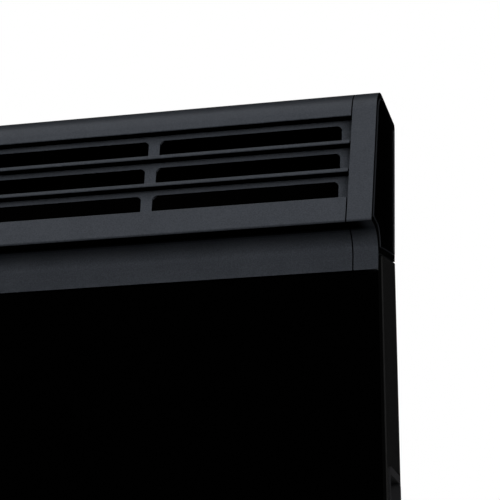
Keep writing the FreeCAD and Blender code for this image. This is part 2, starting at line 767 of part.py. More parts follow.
def rear_panel():
    """Sheet back: upright below, leaning behind the head, with pressed swages, keyholes and vents."""
    top = HEAD_RISE - HEAD_WALL - SCREW_CLEARANCE
    inner = HEAD_WALL + SHEET
    corners = [
        head_corner(REAR_IN, BASE_Z - LIP_Z),
        head_corner(REAR_OUT, BASE_Z - LIP_Z),
        head_corner(REAR_OUT, rear_bend(HEAD_WALL, REAR_OUT)),
        head_corner(back_setback(top, HEAD_WALL), top),
        head_corner(back_setback(top, inner), top),
        head_corner(REAR_IN, rear_bend(inner, REAR_IN)),
    ]
    half = WALL_X - SCREW_CLEARANCE
    out, inside = LIP_Y + REAR_OUT, LIP_Y + REAR_IN
    panel = [prism(corners, "X", -half, half)]
    holes = []
    for rise in SWAGE_HEIGHTS:
        z = BASE_Z + rise
        raised = obround(0, z, SWAGE_LENGTH, SWAGE_WIDTH)
        panel.append(prism(raised, "Y", out - SHEET / 2, out + SWAGE_HEIGHT))
        pressed = obround(0, z, SWAGE_LENGTH - 2 * SHEET, SWAGE_WIDTH - 2 * SHEET)
        holes.append(prism(pressed, "Y", inside, inside + SWAGE_HEIGHT))
    for side in (-1, 1):
        x, z = side * KEYHOLE_SPACING / 2, TOP_Z - KEYHOLE_DROP
        holes.append(rod("Y", inside, out, x, z, KEYHOLE_RADIUS))
        neck = rectangle(x - KEYHOLE_NECK / 2, x + KEYHOLE_NECK / 2, z, z + KEYHOLE_RISE,
                         KEYHOLE_NECK * SLOT_END_SHARE)
        holes.append(prism(neck, "Y", inside, out))
    for k in range(VENT_COUNT):
        x = (k - (VENT_COUNT - 1) / 2) * VENT_PITCH
        holes.append(prism(obround(x, BASE_Z + VENT_RISE, VENT_LENGTH, VENT_WIDTH), "Y", inside, out))
    for x, z in rear_screw_places():
        holes.append(rod("Y", inside, out, x, z, SCREW_RADIUS + SCREW_CLEARANCE))
    holes += [grille_screw_hole(x) for x in grille_screw_places()]
    holes.append(rod("Y", inside, out, GLAND_X, BASE_Z + GLAND_RISE, GLAND_RADIUS + GLAND_CLEARANCE))
    return fused(panel).cut(Part.makeCompound(holes))


def rear_screws():
    """Screws that hold the rear panel to the tray's flanges."""
    return Part.makeCompound([pan_screw(Vector(x, LIP_Y + REAR_OUT, z), Vector(0, 1, 0), REAR_SCREW_LENGTH)
                              for x, z in rear_screw_places()])


def grille_screws():
    """Screws through the grille's rear flange into the rear panel."""
    return Part.makeCompound([pan_screw(*grille_screw_seat(x), HEAD_WALL + 2 * SHEET)
                              for x in grille_screw_places()])


def foot_bolt_places():
    """Width and depth of the bolts that join both feet to the bottom panel."""
    return [(side * FOOT_X, FOOT_NECK_Y + end * FOOT_BOLT_SPACING / 2)
            for side in (-1, 1) for end in (-1, 1)]


def bottom_panel():
    """Sheet floor with an upturned rim and rows of air intake slots."""
    front, back = LIP_Y + TRAY_FRONT + SHEET, LIP_Y + FLANGE_FRONT
    corner = TRAY_BEND - SHEET
    floor = prism(rectangle(-INSIDE_X, INSIDE_X, front, back, corner), "Z", BASE_Z, BASE_Z + BOTTOM_FLANGE)
    inner = rectangle(-INSIDE_X + BOTTOM_SHEET, INSIDE_X - BOTTOM_SHEET, front + BOTTOM_SHEET,
                      back - BOTTOM_SHEET, corner - BOTTOM_SHEET)
    floor = floor.cut(prism(inner, "Z", DECK_Z, BASE_Z + BOTTOM_FLANGE))
    holes = []
    middle = (front + back) / 2
    for row in range(INTAKE_ROWS):
        y = middle + (row - (INTAKE_ROWS - 1) / 2) * INTAKE_PITCH_Y
        for column in range(INTAKE_COLUMNS):
            x = (column - (INTAKE_COLUMNS - 1) / 2) * INTAKE_PITCH_X
            slot = obround(x, y, INTAKE_SLOT_LENGTH, INTAKE_SLOT_WIDTH)
            holes.append(prism(slot, "Z", BASE_Z, DECK_Z))
    for x, y in foot_bolt_places():
        holes.append(rod("Z", BASE_Z, DECK_Z, x, y, FOOT_BOLT_RADIUS + SCREW_CLEARANCE))
    return floor.cut(Part.makeCompound(holes))


def heating_element():
    """Finned aluminium profile round the heater rod's bore."""
    y, z = ELEMENT_Y, ELEMENT_Z
    half = ELEMENT_LENGTH / 2
    web = box(-half, half, y - FIN_THICKNESS, y + FIN_THICKNESS,
              z - ELEMENT_HEIGHT / 2, z + ELEMENT_HEIGHT / 2)
    pieces = [web, rod("X", -half, half, y, z, ELEMENT_BOSS_RADIUS)]
    for offset in FIN_OFFSETS:
        for level in (z - offset, z + offset):
            pieces.append(box(-half, half, y - ELEMENT_DEPTH / 2, y + ELEMENT_DEPTH / 2,
                              level - FIN_THICKNESS / 2, level + FIN_THICKNESS / 2))
    return fused(pieces).cut(rod("X", -half, half, y, z, ROD_RADIUS + ROD_CLEARANCE))


def heater_rod():
    """Steel-sheathed heater rod through the element."""
    reach = ELEMENT_LENGTH / 2 + ROD_OVERHANG
    return rod("X", -reach, reach, ELEMENT_Y, ELEMENT_Z, ROD_RADIUS)


def terminal_pins():
    """Connection pins at both ends of the heater rod."""
    reach = ELEMENT_LENGTH / 2 + ROD_OVERHANG
    pin = rod("X", reach, reach + PIN_LENGTH, ELEMENT_Y, ELEMENT_Z, PIN_RADIUS)
    return Part.makeCompound([pin, mirrored(pin)])


def element_bracket():
    """Right sheet bracket that carries the element on the bottom panel."""
    y0, y1 = ELEMENT_Y - BRACKET_WIDTH / 2, ELEMENT_Y + BRACKET_WIDTH / 2
    x0, x1 = BRACKET_X - BRACKET_SHEET / 2, BRACKET_X + BRACKET_SHEET / 2
    plate = box(x0, x1, y0, y1, DECK_Z, ELEMENT_Z + BRACKET_RISE)
    foot = box(x0 - BRACKET_FOOT, x0, y0, y1, DECK_Z, DECK_Z + BRACKET_SHEET)
    return fused([plate, foot]).cut(rod("X", x0, x1, ELEMENT_Y, ELEMENT_Z, BUSH_RADIUS))


def bush():
    """Right ceramic bush, its collar against the bracket, round the heater rod."""
    seat = BRACKET_X - BRACKET_SHEET / 2
    collar = rod("X", seat - BUSH_COLLAR, seat, ELEMENT_Y, ELEMENT_Z, BUSH_COLLAR_RADIUS)
    body = rod("X", seat, seat + BUSH_LENGTH, ELEMENT_Y, ELEMENT_Z, BUSH_RADIUS)
    bore_radius = ROD_RADIUS + ROD_CLEARANCE
    bore = rod("X", seat - BUSH_COLLAR, seat + BUSH_LENGTH, ELEMENT_Y, ELEMENT_Z, bore_radius)
    return fused([collar, body]).cut(bore)


def heat_shield():
    """Sheet channel on the rear panel that keeps the element's heat off it."""
    front, back = LIP_Y + SHIELD_FRONT, LIP_Y + REAR_IN
    low = BASE_Z + SHIELD_BOTTOM_RISE
    high = low + SHIELD_HEIGHT
    half = INSIDE_X - SHIELD_END_SPACE
    channel = box(-half, half, front, back, low, high)
    return channel.cut(box(-half, half, front + SHIELD_SHEET, back, low + SHIELD_SHEET, high - SHIELD_SHEET))


def thermal_cutout():
    """Disc cut-out with its mounting flange and two tabs, on the heat shield."""
    seat = LIP_Y + SHIELD_FRONT
    z = BASE_Z + CUTOUT_RISE
    plate = obround(CUTOUT_X, z, CUTOUT_FLANGE_LENGTH, CUTOUT_FLANGE_WIDTH)
    flange = prism(plate, "Y", seat - SHIELD_SHEET, seat)
    disc = rod("Y", seat - CUTOUT_HEIGHT, seat - SHIELD_SHEET, CUTOUT_X, z, CUTOUT_RADIUS)
    pieces = [flange, disc]
    front = seat - CUTOUT_HEIGHT
    for side in (-1, 1):
        x = CUTOUT_X + side * CUTOUT_RADIUS / 2
        pieces.append(box(x - CUTOUT_TAB_THICKNESS / 2, x + CUTOUT_TAB_THICKNESS / 2,
                          front - CUTOUT_TAB_LENGTH, front,
                          z - CUTOUT_TAB_WIDTH / 2, z + CUTOUT_TAB_WIDTH / 2))
    return fused(pieces)


def rocker_rise():
    """Height of a rocker's raised ends over its middle."""
    return ROCKER_LENGTH / 2 * math.tan(math.radians(ROCKER_SWING / 2))


def rocker_well():
    """Half height, half width and depth of a switch's well, as the swinging rocker needs."""
    swing = math.radians(ROCKER_SWING / 2)
    height = math.hypot(ROCKER_LENGTH / 2, ROCKER_CROWN + rocker_rise()) + ROCKER_CLEARANCE
    width = ROCKER_WIDTH / 2 + ROCKER_CLEARANCE
    drop = ROCKER_BELLY * math.cos(swing) + ROCKER_LENGTH / 2 * math.sin(swing) + ROCKER_CLEARANCE
    return height, width, ROCKER_PIVOT_DROP + drop


def switch_outline(z, growth):
    """Outline of a switch's body, grown by a margin."""
    height, width, _ = rocker_well()
    reach_y = width + ROCKER_PIN_LENGTH + growth
    reach_z = height + SWITCH_WALL + growth
    return rectangle(CONTROL_Y - reach_y, CONTROL_Y + reach_y, z - reach_z, z + reach_z, SWITCH_WALL)


def switch_housing(z):
    """Snap-in switch body with its bezel and the well that the rocker swings in."""
    bezel = prism(switch_outline(z, BEZEL_LIP), "X", FLOOR_X, FLOOR_X + BEZEL_THICKNESS)
    body = prism(switch_outline(z, 0), "X", FLOOR_BACK_X - SWITCH_DEPTH, FLOOR_X)
    height, width, depth = rocker_well()
    face = FLOOR_X + BEZEL_THICKNESS
    well = box(face - depth, face, CONTROL_Y - width, CONTROL_Y + width, z - height, z + height)
    pin = ROCKER_WIDTH / 2 + ROCKER_PIN_LENGTH + ROCKER_PIN_CLEARANCE
    pivot = rod("Y", CONTROL_Y - pin, CONTROL_Y + pin, face - ROCKER_PIVOT_DROP, z,
                ROCKER_PIN_RADIUS + ROCKER_PIN_CLEARANCE)
    return fused([bezel, body]).cut(well).cut(pivot)


def rocker(z):
    """Dished rocker on its pivot pins, resting with its lower end raised."""
    pivot_x = FLOOR_X + BEZEL_THICKNESS - ROCKER_PIVOT_DROP
    half = ROCKER_LENGTH / 2
    crown = pivot_x + ROCKER_CROWN
    corners = [
        (pivot_x - ROCKER_BELLY, z - half + SWITCH_WALL, SWITCH_WALL / 2),
        (pivot_x - ROCKER_BELLY, z + half - SWITCH_WALL, SWITCH_WALL / 2),
        (crown + rocker_rise(), z + half, SWITCH_WALL / 2),
        (crown, z, half),
        (crown + rocker_rise(), z - half, SWITCH_WALL / 2),
    ]
    body = prism(corners, "Y", CONTROL_Y - ROCKER_WIDTH / 2, CONTROL_Y + ROCKER_WIDTH / 2)
    pin = ROCKER_WIDTH / 2 + ROCKER_PIN_LENGTH
    pins = rod("Y", CONTROL_Y - pin, CONTROL_Y + pin, pivot_x, z, ROCKER_PIN_RADIUS)
    rest = fused([body, pins])
    rest.rotate(Vector(pivot_x, CONTROL_Y, z), Vector(0, 1, 0), -ROCKER_SWING / 2)
    return rest


def control_fascia():
    """Moulded pocket in the right side, with a thin rim, that carries the controls."""
    pocket = prism(control_window(0, POCKET_ROUND), "X", FLOOR_BACK_X, SIDE_X)
    rim = prism(control_window(POCKET_RIM, POCKET_ROUND + POCKET_RIM), "X", SIDE_X, HALF)
    mouth = prism(control_window(-POCKET_WALL, POCKET_ROUND - POCKET_WALL), "X", FLOOR_X, HALF)
    holes = [
        rod("X", FLOOR_BACK_X, FLOOR_X, CONTROL_Y, CONTROL_Z + KNOB_OFFSET,
            THERMOSTAT_BUSH_RADIUS + SWITCH_CLEARANCE),
        rod("X", FLOOR_BACK_X, FLOOR_X, CONTROL_Y, CONTROL_Z + LAMP_OFFSET, LAMP_RADIUS + SWITCH_CLEARANCE),
    ]
    for offset in SWITCH_OFFSETS.values():
        holes.append(prism(switch_outline(CONTROL_Z + offset, SWITCH_CLEARANCE), "X", FLOOR_BACK_X, FLOOR_X))
    return fused([pocket, rim]).cut(mouth).cut(Part.makeCompound(holes))


def thermostat_body():
    """Thermostat behind the fascia, with the threaded bush that the spindle turns in."""
    y, z = CONTROL_Y, CONTROL_Z + KNOB_OFFSET
    case = rectangle(y - THERMOSTAT_WIDTH / 2, y + THERMOSTAT_WIDTH / 2,
                     z - THERMOSTAT_HEIGHT / 2, z + THERMOSTAT_HEIGHT / 2, POCKET_WALL)
    body = prism(case, "X", FLOOR_BACK_X - THERMOSTAT_DEPTH, FLOOR_BACK_X)
    neck = rod("X", FLOOR_BACK_X, FLOOR_X + THERMOSTAT_BUSH_HEIGHT, y, z, THERMOSTAT_BUSH_RADIUS)
    bore = rod("X", FLOOR_BACK_X - SPINDLE_DEPTH - SPINDLE_CLEARANCE, FLOOR_X + THERMOSTAT_BUSH_HEIGHT, y, z,
               SPINDLE_RADIUS + SPINDLE_CLEARANCE)
    return fused([body, neck]).cut(bore)


def thermostat_nut():
    """Thin nut that clamps the thermostat's bush to the fascia."""
    y, z = CONTROL_Y, CONTROL_Z + KNOB_OFFSET
    top = FLOOR_X + NUT_THICKNESS
    nut = hexagon("X", FLOOR_X, top, y, z, NUT_ACROSS_FLATS)
    return nut.cut(rod("X", FLOOR_X, top, y, z, THERMOSTAT_BUSH_RADIUS + SPINDLE_CLEARANCE))


def at_lowest_setting(shape):
    """A piece of the dial turned from pointing up to its lowest setting."""
    shape.rotate(Vector(FLOOR_X, CONTROL_Y, CONTROL_Z + KNOB_OFFSET), Vector(1, 0, 0), KNOB_REST)
    return shape


def spindle(growth):
    """Spindle with a flat on its end, grown by a clearance for the knob's bore."""
    y, z = CONTROL_Y, CONTROL_Z + KNOB_OFFSET
    radius = SPINDLE_RADIUS + growth
    bar = rod("X", FLOOR_BACK_X - SPINDLE_DEPTH, FLOOR_X + SPINDLE_TOP + growth, y, z, radius)
    flat = box(FLOOR_X + KNOB_LIFT, FLOOR_X + SPINDLE_TOP + growth, y - radius, y + radius,
               z + radius / 2, z + radius)
    return bar.cut(flat)


def thermostat_knob():
    """Fluted knob with a pointer groove, turned to its lowest setting."""
    y, z = CONTROL_Y, CONTROL_Z + KNOB_OFFSET
    low = FLOOR_X + KNOB_LIFT
    high = low + KNOB_HEIGHT
    knob = rod("X", low, high, y, z, KNOB_RADIUS)
    rim = [edge for edge in knob.Edges if edge.BoundBox.XMin > high - TOUCH]
    knob = knob.makeFillet(KNOB_MARK_WIDTH, rim)
    mark = KNOB_MARK_WIDTH / 2
    cuts = [box(high - mark, high, y - mark, y + mark, z, z + KNOB_RADIUS)]
    reach = KNOB_RADIUS + KNOB_FLUTE_RADIUS / 2
    for k in range(KNOB_FLUTES):
        angle = 2 * math.pi * (k + 0.5) / KNOB_FLUTES
        flute_y, flute_z = y + reach * math.sin(angle), z + reach * math.cos(angle)
        cuts.append(rod("X", low, high, flute_y, flute_z, KNOB_FLUTE_RADIUS))
    knob = knob.cut(Part.makeCompound(cuts)).cut(spindle(SPINDLE_CLEARANCE))
    return at_lowest_setting(knob)


def pilot_lamp():
    """Indicator lamp with a domed lens in the fascia's floor."""
    y, z = CONTROL_Y, CONTROL_Z + LAMP_OFFSET
    body = rod("X", FLOOR_BACK_X - LAMP_DEPTH, FLOOR_X, y, z, LAMP_RADIUS)
    lens = rod("X", FLOOR_X, FLOOR_X + LAMP_DOME, y, z, LAMP_RADIUS + BEZEL_LIP)
    rim = [edge for edge in lens.Edges if edge.BoundBox.XMin > FLOOR_X + LAMP_DOME - TOUCH]
    return fused([body, lens.makeFillet(LAMP_ROUND, rim)])


def terminal_block():
    """Terminal block with a wire entry and a screw hole for each pole."""
    y = LIP_Y + TERMINAL_SETBACK
    x0, x1 = TERMINAL_X - TERMINAL_LENGTH / 2, TERMINAL_X + TERMINAL_LENGTH / 2
    y0, y1 = y - TERMINAL_WIDTH / 2, y + TERMINAL_WIDTH / 2
    block = box(x0, x1, y0, y1, DECK_Z, DECK_Z + TERMINAL_HEIGHT)
    pitch = TERMINAL_LENGTH / TERMINAL_POLES
    holes = []
    for pole in range(TERMINAL_POLES):
        x = x0 + pitch * (pole + 0.5)
        holes.append(rod("Y", y1 - TERMINAL_WIDTH / 4, y1, x, DECK_Z + TERMINAL_HEIGHT / 3, SCREW_RADIUS))
        holes.append(rod("Z", DECK_Z + TERMINAL_HEIGHT / 2, DECK_Z + TERMINAL_HEIGHT, x, y, SCREW_RADIUS))
    return block.cut(Part.makeCompound(holes))


def tilt_switch():
    """Sealed tip-over switch with two tabs on top."""
    y = LIP_Y + TILT_SETBACK
    case = rectangle(TILT_X - TILT_LENGTH / 2, TILT_X + TILT_LENGTH / 2,
                     y - TILT_WIDTH / 2, y + TILT_WIDTH / 2, SCREW_RADIUS)
    pieces = [prism(case, "Z", DECK_Z, DECK_Z + TILT_HEIGHT)]
    for side in (-1, 1):
        x = TILT_X + side * TILT_LENGTH / 4
        pieces.append(box(x - SHEET / 2, x + SHEET / 2, y - SCREW_HEAD_RADIUS, y + SCREW_HEAD_RADIUS,
                          DECK_Z + TILT_HEIGHT, DECK_Z + TILT_HEIGHT + TILT_TAB))
    return fused(pieces)


def earth_stud():
    """Earth stud on the bottom panel with its nut."""
    y = LIP_Y + EARTH_SETBACK
    stud = rod("Z", DECK_Z, DECK_Z + EARTH_HEIGHT, EARTH_X, y, EARTH_RADIUS)
    nut = hexagon("Z", DECK_Z, DECK_Z + EARTH_NUT_THICKNESS, EARTH_X, y, EARTH_NUT_FLATS)
    return fused([stud, nut])


def cable_gland():
    """Cable gland through the rear panel, with a flange and a tapered nose."""
    z = BASE_Z + GLAND_RISE
    seat = LIP_Y + REAR_OUT
    inner = LIP_Y + REAR_IN - GLAND_INNER
    nose = seat + GLAND_FLANGE
    end = nose + GLAND_NOSE
    body = rod("Y", inner, seat, GLAND_X, z, GLAND_RADIUS)
    flange = rod("Y", seat, nose, GLAND_X, z, GLAND_FLANGE_RADIUS)
    taper = Part.makeCone(GLAND_RADIUS, GLAND_NOSE_RADIUS, GLAND_NOSE, Vector(GLAND_X, nose, z), AXES["Y"])
    return fused([body, flange, taper]).cut(rod("Y", inner, end, GLAND_X, z, GLAND_BORE))


def gland_nut():
    """Lock nut of the cable gland inside the rear panel."""
    z = BASE_Z + GLAND_RISE
    back = LIP_Y + REAR_IN
    front = back - GLAND_NUT_THICKNESS
    nut = hexagon("Y", front, back, GLAND_X, z, GLAND_NUT_FLATS)
    return nut.cut(rod("Y", front, back, GLAND_X, z, GLAND_RADIUS + GLAND_CLEARANCE))


def sensor_tube():
    """Thermostat's sensing bulb on the bottom panel and its capillary up to the thermostat."""
    lane = LIP_Y + TRAY_FRONT + SHEET + BOTTOM_SHEET + SENSOR_RADIUS + SHEET
    z = DECK_Z + SENSOR_RADIUS
    bulb = rod("X", SENSOR_X, SENSOR_X + SENSOR_LENGTH, lane, z, SENSOR_RADIUS)
    turn_x = TERMINAL_X - 2 * SENSOR_RADIUS
    case_x = FLOOR_BACK_X - THERMOSTAT_DEPTH + 2 * SENSOR_RADIUS
    case_low = CONTROL_Z + KNOB_OFFSET - THERMOSTAT_HEIGHT / 2
    entry_y = CONTROL_Y - THERMOSTAT_WIDTH / 2 + SENSOR_RADIUS
    points = [
        Vector(SENSOR_X + SENSOR_LENGTH, lane, z),
        Vector(turn_x, lane, z),
        Vector(turn_x, lane, case_low - THERMOSTAT_HEIGHT),
        Vector(case_x, entry_y, case_low - THERMOSTAT_HEIGHT / 2),
        Vector(case_x, entry_y, case_low),
    ]
    return Part.makeCompound([bulb, tube(points, CAPILLARY_RADIUS, 2 * SENSOR_RADIUS)])


def wires():
    """Insulated leads from the block to the thermostat, lower switch and element's far end,
    and from the upper switch to the element's near end."""
    block_top = DECK_Z + TERMINAL_HEIGHT
    block_left = TERMINAL_X - TERMINAL_LENGTH / 2
    back_y = LIP_Y + TERMINAL_SETBACK + TERMINAL_WIDTH / 4
    case_x = FLOOR_BACK_X - THERMOSTAT_DEPTH
    switch_x = FLOOR_BACK_X - SWITCH_DEPTH
    case_z = CONTROL_Z + KNOB_OFFSET
    pin_x = ELEMENT_LENGTH / 2 + ROD_OVERHANG + PIN_LENGTH
    bend = 3 * WIRE_RADIUS
    upper_z = CONTROL_Z + SWITCH_OFFSETS["upper"]
    lower_z = CONTROL_Z + SWITCH_OFFSETS["lower"]
    lane_y = LIP_Y + TRAY_FRONT + 3 * SHEET + WIRE_RADIUS
    lane_z = BASE_Z + BOTTOM_FLANGE + 2 * WIRE_RADIUS
    first_x = block_left + TERMINAL_LENGTH / 6
    second_x = switch_x - 2 * bend
    runs = [
        [Vector(first_x, back_y, block_top), Vector(first_x, back_y, case_z), Vector(case_x, back_y, case_z)],
        [Vector(second_x, back_y, block_top), Vector(second_x, back_y, lower_z),
         Vector(switch_x, back_y, lower_z)],
        [Vector(switch_x, ELEMENT_Y, upper_z), Vector(pin_x + 2 * bend, ELEMENT_Y, upper_z),
         Vector(pin_x + 2 * bend, ELEMENT_Y, ELEMENT_Z), Vector(pin_x, ELEMENT_Y, ELEMENT_Z)],
        [Vector(-pin_x, ELEMENT_Y, ELEMENT_Z), Vector(-pin_x - 2 * bend, ELEMENT_Y, ELEMENT_Z),
         Vector(-pin_x - 2 * bend, ELEMENT_Y, lane_z), Vector(-pin_x - 2 * bend, lane_y, lane_z),
         Vector(block_left - 2 * bend, lane_y, lane_z), Vector(block_left - 2 * bend, CONTROL_Y, lane_z),
         Vector(block_left, CONTROL_Y, lane_z)],
    ]
    return Part.makeCompound([tube(points, WIRE_RADIUS, bend) for points in runs])


def foot():
    """Right foot: a low bar with tapering ends and a neck up to the bottom panel."""
    tip_z = PAD_HEIGHT + FOOT_TIP
    bar_z = PAD_HEIGHT + FOOT_BAR
    front, back = FOOT_NECK_Y - FOOT_NECK / 2, FOOT_NECK_Y + FOOT_NECK / 2
    corners = [
        (-FOOT_LENGTH / 2, PAD_HEIGHT, FOOT_EDGE),
        (FOOT_LENGTH / 2, PAD_HEIGHT, FOOT_EDGE),
        (FOOT_LENGTH / 2, tip_z, FOOT_EDGE * 2),
        (back, bar_z, FOOT_BLEND),
        (back, FOOT_LIFT, 0),
        (front, FOOT_LIFT, 0),
        (front, bar_z, FOOT_BLEND),
        (-FOOT_LENGTH / 2, tip_z, FOOT_EDGE * 2),
    ]
    bar = prism(corners, "X", FOOT_X - FOOT_WIDTH / 2, FOOT_X + FOOT_WIDTH / 2)
    rim = [edge for edge in bar.Edges
           if edge.BoundBox.XLength < TOUCH and edge.BoundBox.ZMin < FOOT_LIFT - TOUCH]
    bar = bar.makeChamfer(FOOT_EDGE / 2, rim)
    seat = FOOT_LIFT - FOOT_BOLT_GRIP
    for bolt_x, bolt_y in foot_bolt_places():
        if bolt_x > 0:
            head = FOOT_BOLT_HEAD_RADIUS + SCREW_CLEARANCE
            bar = bar.cut(rod("Z", PAD_HEIGHT, seat, bolt_x, bolt_y, head))
            bar = bar.cut(rod("Z", seat, FOOT_LIFT, bolt_x, bolt_y, FOOT_BOLT_RADIUS + SCREW_CLEARANCE))
    return bar


def foot_pads():
    """Rubber pads under both ends of both feet."""
    pads = []
    y = FOOT_LENGTH / 2 - PAD_END_INSET - PAD_LENGTH / 2
    for side in (-1, 1):
        for end in (-1, 1):
            x = side * FOOT_X
            corners = rectangle(x - PAD_WIDTH / 2, x + PAD_WIDTH / 2, end * y - PAD_LENGTH / 2,
                                end * y + PAD_LENGTH / 2, PAD_ROUND)
            pads.append(prism(corners, "Z", 0, PAD_HEIGHT))
    return Part.makeCompound(pads)


def foot_screws():
    """Hexagon-socket bolts from under the feet into the bottom panel's nuts."""
    seat = FOOT_LIFT - FOOT_BOLT_GRIP
    bolts = []
    for x, y in foot_bolt_places():
        head = rod("Z", seat - FOOT_BOLT_HEAD, seat, x, y, FOOT_BOLT_HEAD_RADIUS)
        shank = rod("Z", seat, DECK_Z + FOOT_NUT_THICKNESS, x, y, FOOT_BOLT_RADIUS)
        socket = hexagon("Z", seat - FOOT_BOLT_HEAD, seat - FOOT_BOLT_HEAD / 2, x, y, FOOT_BOLT_HEAD_RADIUS)
        bolts.append(fused([head, shank]).cut(socket))
    return Part.makeCompound(bolts)


def foot_nuts():
    """Nuts of the foot bolts on the bottom panel."""
    nuts = []
    for x, y in foot_bolt_places():
        nut = hexagon("Z", DECK_Z, DECK_Z + FOOT_NUT_THICKNESS, x, y, FOOT_NUT_FLATS)
        nuts.append(nut.cut(rod("Z", DECK_Z, DECK_Z + FOOT_NUT_THICKNESS, x, y,
                                FOOT_BOLT_RADIUS + SPINDLE_CLEARANCE)))
    return Part.makeCompound(nuts)


nodes = {
    "outlet_grille": outlet_grille(),
    "end_cap_right": end_cap(),
    "end_plate_right": end_plate(),
    "cap_screws": cap_screws(),
    "glass_panel": glass_panel(),
    "glass_pads": glass_pads(),
    "front_tray": front_tray(),
    "side_panel_right": side_panel(window=True),
    "side_panel_left": mirrored(side_panel(window=False)),
    "side_panel_screws": side_panel_screws(),
    "rear_panel": rear_panel(),
    "rear_screws": rear_screws(),
    "grille_screws": grille_screws(),
    "bottom_panel": bottom_panel(),
    "heating_element": heating_element(),
    "heater_rod": heater_rod(),
    "terminal_pins": terminal_pins(),
    "element_bracket_right": element_bracket(),
    "bush_right": bush(),
    "heat_shield": heat_shield(),
    "thermal_cutout": thermal_cutout(),
    "control_fascia": control_fascia(),
    "thermostat_body": thermostat_body(),
    "thermostat_nut": thermostat_nut(),
    "thermostat_spindle": at_lowest_setting(spindle(0.0)),
    "thermostat_knob": thermostat_knob(),
    "sensor_tube": sensor_tube(),
    "pilot_lamp": pilot_lamp(),
    "terminal_block": terminal_block(),
    "tilt_switch": tilt_switch(),
    "earth_stud": earth_stud(),
    "wires": wires(),
    "cable_gland": cable_gland(),
    "gland_nut": gland_nut(),
    "foot_right": foot(),
    "foot_pads": foot_pads(),
    "foot_screws": foot_screws(),
    "foot_nuts": foot_nuts(),
}
for name, offset in SWITCH_OFFSETS.items():
    nodes["switch_housing_" + name] = switch_housing(CONTROL_Z + offset)
    nodes["rocker_" + name] = rocker(CONTROL_Z + offset)
for name in ("end_cap", "end_plate", "element_bracket", "bush", "foot"):
    nodes[name + "_left"] = mirrored(nodes[name + "_right"])

os.makedirs("parts", exist_ok=True)
for name, shape in nodes.items():
    shape.exportStep(f"parts/{name}.step")
    print(name, len(shape.Solids), shape.isValid(), round(shape.Volume))
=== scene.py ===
# %% [markdown]
# # A panel convector heater with a black glass front
# The heater is a folded sheet body behind a sheet of black glass, under a slanted anthracite head with
# three rows of louvre slots. Its solids come from the packed model, in metres, with the floor at Z = 0,
# the glass facing -Y and the controls on the +X side. This script gives them finishes, adds the printed
# and inlaid marks that are too thin to be solids, and sets the light and the camera.

# %% Load the packed model
import json
import math

import bpy
import numpy as np
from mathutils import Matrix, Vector

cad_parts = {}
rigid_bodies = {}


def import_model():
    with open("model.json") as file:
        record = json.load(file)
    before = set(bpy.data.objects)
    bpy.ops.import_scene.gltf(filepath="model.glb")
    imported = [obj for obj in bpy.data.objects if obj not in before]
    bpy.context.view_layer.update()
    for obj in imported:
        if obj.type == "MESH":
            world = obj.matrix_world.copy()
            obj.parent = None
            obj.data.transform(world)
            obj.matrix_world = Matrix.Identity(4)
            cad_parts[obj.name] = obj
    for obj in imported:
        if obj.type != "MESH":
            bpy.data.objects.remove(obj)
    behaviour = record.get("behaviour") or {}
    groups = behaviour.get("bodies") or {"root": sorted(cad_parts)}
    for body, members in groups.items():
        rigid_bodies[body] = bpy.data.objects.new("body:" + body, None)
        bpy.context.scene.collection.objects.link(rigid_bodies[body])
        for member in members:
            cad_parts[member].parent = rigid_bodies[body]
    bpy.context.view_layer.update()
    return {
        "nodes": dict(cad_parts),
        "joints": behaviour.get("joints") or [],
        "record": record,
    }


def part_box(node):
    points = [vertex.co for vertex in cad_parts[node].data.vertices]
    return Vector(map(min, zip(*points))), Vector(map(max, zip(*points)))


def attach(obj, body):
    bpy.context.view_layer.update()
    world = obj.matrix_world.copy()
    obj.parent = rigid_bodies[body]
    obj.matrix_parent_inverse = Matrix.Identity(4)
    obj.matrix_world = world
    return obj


for leftover in list(bpy.data.objects):
    bpy.data.objects.remove(leftover)
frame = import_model()
nodes = frame["nodes"]

# %% [markdown]
# ## The camera
# The photograph is a close view of the head's right end, taken from below and from the right. A camera
# could be moved by eye until the edges agree. Here its place, its two angles and its focal length were
# worked out from the edges of the louvre rows and of the end cap, which run to two vanishing points, so
# the values below are all that is needed. The picture is 500 pixels wide.

# %% Camera
PICTURE = 500
FOCAL_PIXELS = 1746.0
EYE = (0.45195, -0.84683, 0.11460)
LOOK_UP = 17.156
LOOK_LEFT = 13.08
SENSOR = 36.0

view = bpy.data.cameras.new("view")
view.sensor_width = SENSOR
view.lens = FOCAL_PIXELS / PICTURE * SENSOR
camera = bpy.data.objects.new("view", view)
camera.location = EYE
camera.rotation_euler = (math.radians(90 + LOOK_UP), 0, math.radians(LOOK_LEFT))
bpy.context.collection.objects.link(camera)
scene = bpy.context.scene
scene.camera = camera
scene.view_settings.view_transform = "Standard"
print("lens:", round(view.lens, 2), "mm")

# %% [markdown]
# ## Shader sums
# A finish is a sum of textures. Nodes can be added and linked one at a time, but a formula is easier to
# read, so one small class wraps a socket and turns `+`, `-` and `*` into Math nodes. Every other kind of
# node comes from its one method, which takes the settings first and then the sockets.


